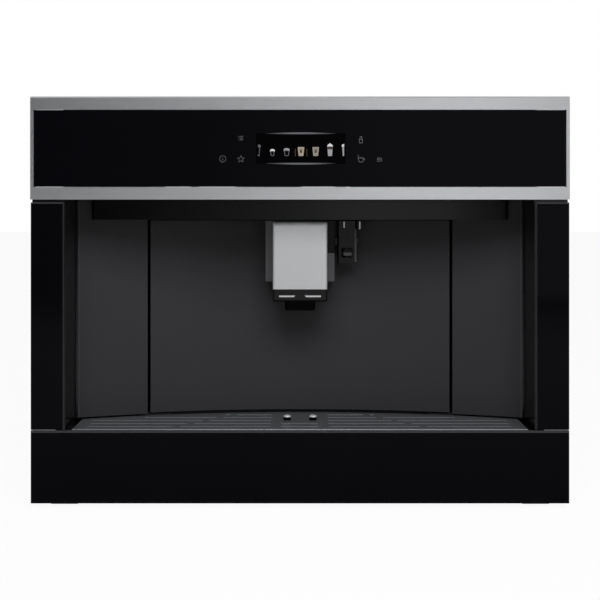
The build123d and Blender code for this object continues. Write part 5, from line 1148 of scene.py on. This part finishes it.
# Cards that reflections see: name, middle, width, height in metres, tilt in degrees, and their
# levels across the width
CARDS = (
    (
        "front_card", (0.0, -3.2, 1.1), 10.0, 2.4, 90.0,
        (
            (-5.0, 0.0), (-1.2, 0.06), (-0.3, 0.52), (0.4, 1.3), (0.95, 1.2), (1.3, 0.3),
            (1.5, 0.0), (5.0, 0.0),
        ),
    ),
    (
        "lamp_card", (0.0, -1.5, 2.6), 1.8, 1.4, 45.0,
        ((-0.7, 0.0), (-0.1, 1.5), (0.1, 1.5), (0.7, 0.0)),
    ),
    (
        "ceiling_card", (0.0, 0.9, 3.0), 6.0, 2.6, 0.0,
        ((-3.0, 0.9), (-1.0, 1.1), (1.0, 1.1), (3.0, 0.9)),
    ),
)
# Soft boxes: place, width and height in metres
KEY_LAMP = ((0.1, -2.1, 1.8), 1.6, 1.0)
SIDE_LAMP = ((2.2, -1.6, 1.0), 1.0, 1.4)
LAMPS_AIM = (0.0, 0.0, 0.2)
SENSOR_WIDTH = 36.0  # millimetres
HORIZON_SHIFT = -1 / 6  # the photograph's horizon is a third of the way down


class COFFEE_OT_stage(Operator):
    """Set up the floor, the soft light and the camera"""

    bl_idname = "coffee.stage"
    bl_label = "Stage"

    def execute(self, context):
        stage = context.scene.stage_settings
        self.add_floor()
        for card in CARDS:
            self.add_card(*card)
        self.add_sky(context, stage)
        self.add_lamp("key_lamp", *KEY_LAMP, stage.key)
        self.add_lamp("side_lamp", *SIDE_LAMP, stage.side)
        self.add_camera(context, stage)
        context.scene.view_settings.view_transform = "Standard"
        return {"FINISHED"}

    def add_floor(self):
        """A pale matt floor that the camera sees as white paper, with part of the shadow on it."""
        made = grained(
            "matt_floor_paint", colours().floor, grain_mm=40.0, tint=0.01, roughness=0.85,
            spread=0.03, Specular_IOR_Level=0.1,
        )
        tree = made.node_tree
        paper = add_node(tree, "ShaderNodeEmission", {"Color": WHITE})
        seen = add_node(tree, "ShaderNodeLightPath").outputs["Is Camera Ray"]
        share = add_node(tree, "ShaderNodeMath", {0: seen, 1: PAPER_SHARE}, operation="MULTIPLY")
        paint = tree.nodes["Principled BSDF"].outputs["BSDF"]
        both = add_node(
            tree, "ShaderNodeMixShader", {0: share.outputs[0], 1: paint, 2: paper.outputs[0]}
        )
        tree.links.new(both.outputs[0], tree.nodes["Material Output"].inputs["Surface"])
        build = bmesh.new()
        bmesh.ops.create_grid(build, x_segments=8, y_segments=8, size=FLOOR_HALF)
        bmesh.ops.translate(build, verts=build.verts[:], vec=(0.0, 0.0, -FLOOR_DROP))
        to_object("floor", build, made)

    def add_card(self, name, centre, width, height, tilt, stops):
        """A card that only reflections see, graded across its width."""
        made = bpy.data.materials.new(f"{name}_light")
        made.use_nodes = True
        tree = made.node_tree
        first, last = stops[0][0], stops[-1][0]
        across = add_node(
            tree,
            "ShaderNodeMapRange",
            {"Value": along(made, "X"), "From Min": first, "From Max": last},
        )
        ramp = add_node(tree, "ShaderNodeValToRGB", {"Fac": across.outputs["Result"]})
        points = ramp.color_ramp.elements
        for rank, (x, level) in enumerate(stops):
            share = (x - first) / (last - first)
            point = points[rank] if rank < 2 else points.new(share)
            point.position = share
            point.color = (level, level, level, 1.0)
        light = add_node(tree, "ShaderNodeEmission", {"Color": ramp.outputs["Color"]})
        tree.links.new(light.outputs[0], tree.nodes["Material Output"].inputs["Surface"])
        build = bmesh.new()
        bmesh.ops.create_grid(build, x_segments=4, y_segments=4, size=0.5)
        turn = Matrix.Rotation(math.radians(tilt), 4, "X")
        size = Matrix.Diagonal((width, height, 1.0, 1.0))
        placed = Matrix.Translation(centre) @ turn @ size
        bmesh.ops.transform(build, matrix=placed, verts=build.verts[:])
        card = to_object(name, build, made)
        card.visible_camera = False
        card.visible_diffuse = False
        card.visible_transmission = False
        card.visible_shadow = False

    def add_sky(self, context, stage):
        """White for whatever looks past the machine, a softer level for the light it sheds."""
        world = bpy.data.worlds.new("soft_room")
        context.scene.world = world
        world.use_nodes = True
        tree = world.node_tree
        light = tree.nodes["Background"]
        light.inputs["Color"].default_value = WHITE
        light.inputs["Strength"].default_value = stage.sky
        white = add_node(tree, "ShaderNodeBackground", {"Color": WHITE})
        path = add_node(tree, "ShaderNodeLightPath")
        seen = add_node(
            tree,
            "ShaderNodeMath",
            {0: path.outputs["Is Camera Ray"], 1: path.outputs["Is Transmission Ray"]},
            operation="MAXIMUM",
        )
        both = add_node(
            tree,
            "ShaderNodeMixShader",
            {0: seen.outputs[0], 1: light.outputs[0], 2: white.outputs[0]},
        )
        tree.links.new(both.outputs[0], tree.nodes["World Output"].inputs["Surface"])

    def add_lamp(self, name, place, width, height, power):
        """A soft box that points at the machine."""
        lamp = bpy.data.lights.new(name, "AREA")
        lamp.shape = "RECTANGLE"
        lamp.size = width
        lamp.size_y = height
        lamp.energy = power
        box = bpy.data.objects.new(name, lamp)
        box.location = place
        aim = Vector(LAMPS_AIM) - Vector(place)
        box.rotation_euler = aim.to_track_quat("-Z", "Y").to_euler()
        box.visible_glossy = False  # the cards stand in for the lamps in reflections
        bpy.context.scene.collection.objects.link(box)

    def add_camera(self, context, stage):
        """A level camera in front of the machine's middle."""
        data = bpy.data.cameras.new("camera")
        data.lens = stage.lens
        data.sensor_width = SENSOR_WIDTH
        data.shift_y = HORIZON_SHIFT
        camera = bpy.data.objects.new("camera", data)
        front_y = CAD_BOX[0][1]
        camera.location = (0.0, front_y - stage.camera_distance, stage.camera_height)
        camera.rotation_euler = (math.pi / 2, 0.0, 0.0)
        context.scene.collection.objects.link(camera)
        context.scene.camera = camera


# ---- the add-on ----
STEPS = (
    COFFEE_OT_front,
    COFFEE_OT_niche,
    COFFEE_OT_spouts,
    COFFEE_OT_cup_grid,
    COFFEE_OT_display,
    COFFEE_OT_touch_symbols,
    COFFEE_OT_drawer,
    COFFEE_OT_case,
    COFFEE_OT_brew_unit,
    COFFEE_OT_water_side,
    COFFEE_OT_stage,
)


class COFFEE_PT_machine(Panel):
    """Lists the steps that dress the machine"""

    bl_idname = "COFFEE_PT_machine"
    bl_label = "Coffee Machine"
    bl_space_type = "VIEW_3D"
    bl_region_type = "UI"
    bl_category = "Coffee Machine"

    def draw(self, context):
        for step in STEPS:
            self.layout.operator(step.bl_idname)


CLASSES = (MachineColours, DisplaySizes, StageSettings, *STEPS, COFFEE_PT_machine)


def register():
    for cls in CLASSES:
        bpy.utils.register_class(cls)
    bpy.types.Scene.machine_colours = PointerProperty(type=MachineColours)
    bpy.types.Scene.display_sizes = PointerProperty(type=DisplaySizes)
    bpy.types.Scene.stage_settings = PointerProperty(type=StageSettings)


def unregister():
    del bpy.types.Scene.machine_colours
    del bpy.types.Scene.display_sizes
    del bpy.types.Scene.stage_settings
    for cls in reversed(CLASSES):
        bpy.utils.unregister_class(cls)


def main():
    """Dress the machine step by step."""
    register()
    for step in STEPS:
        group, name = step.bl_idname.split(".")
        getattr(getattr(bpy.ops, group), name)()


if __name__ == "__main__":
    main()
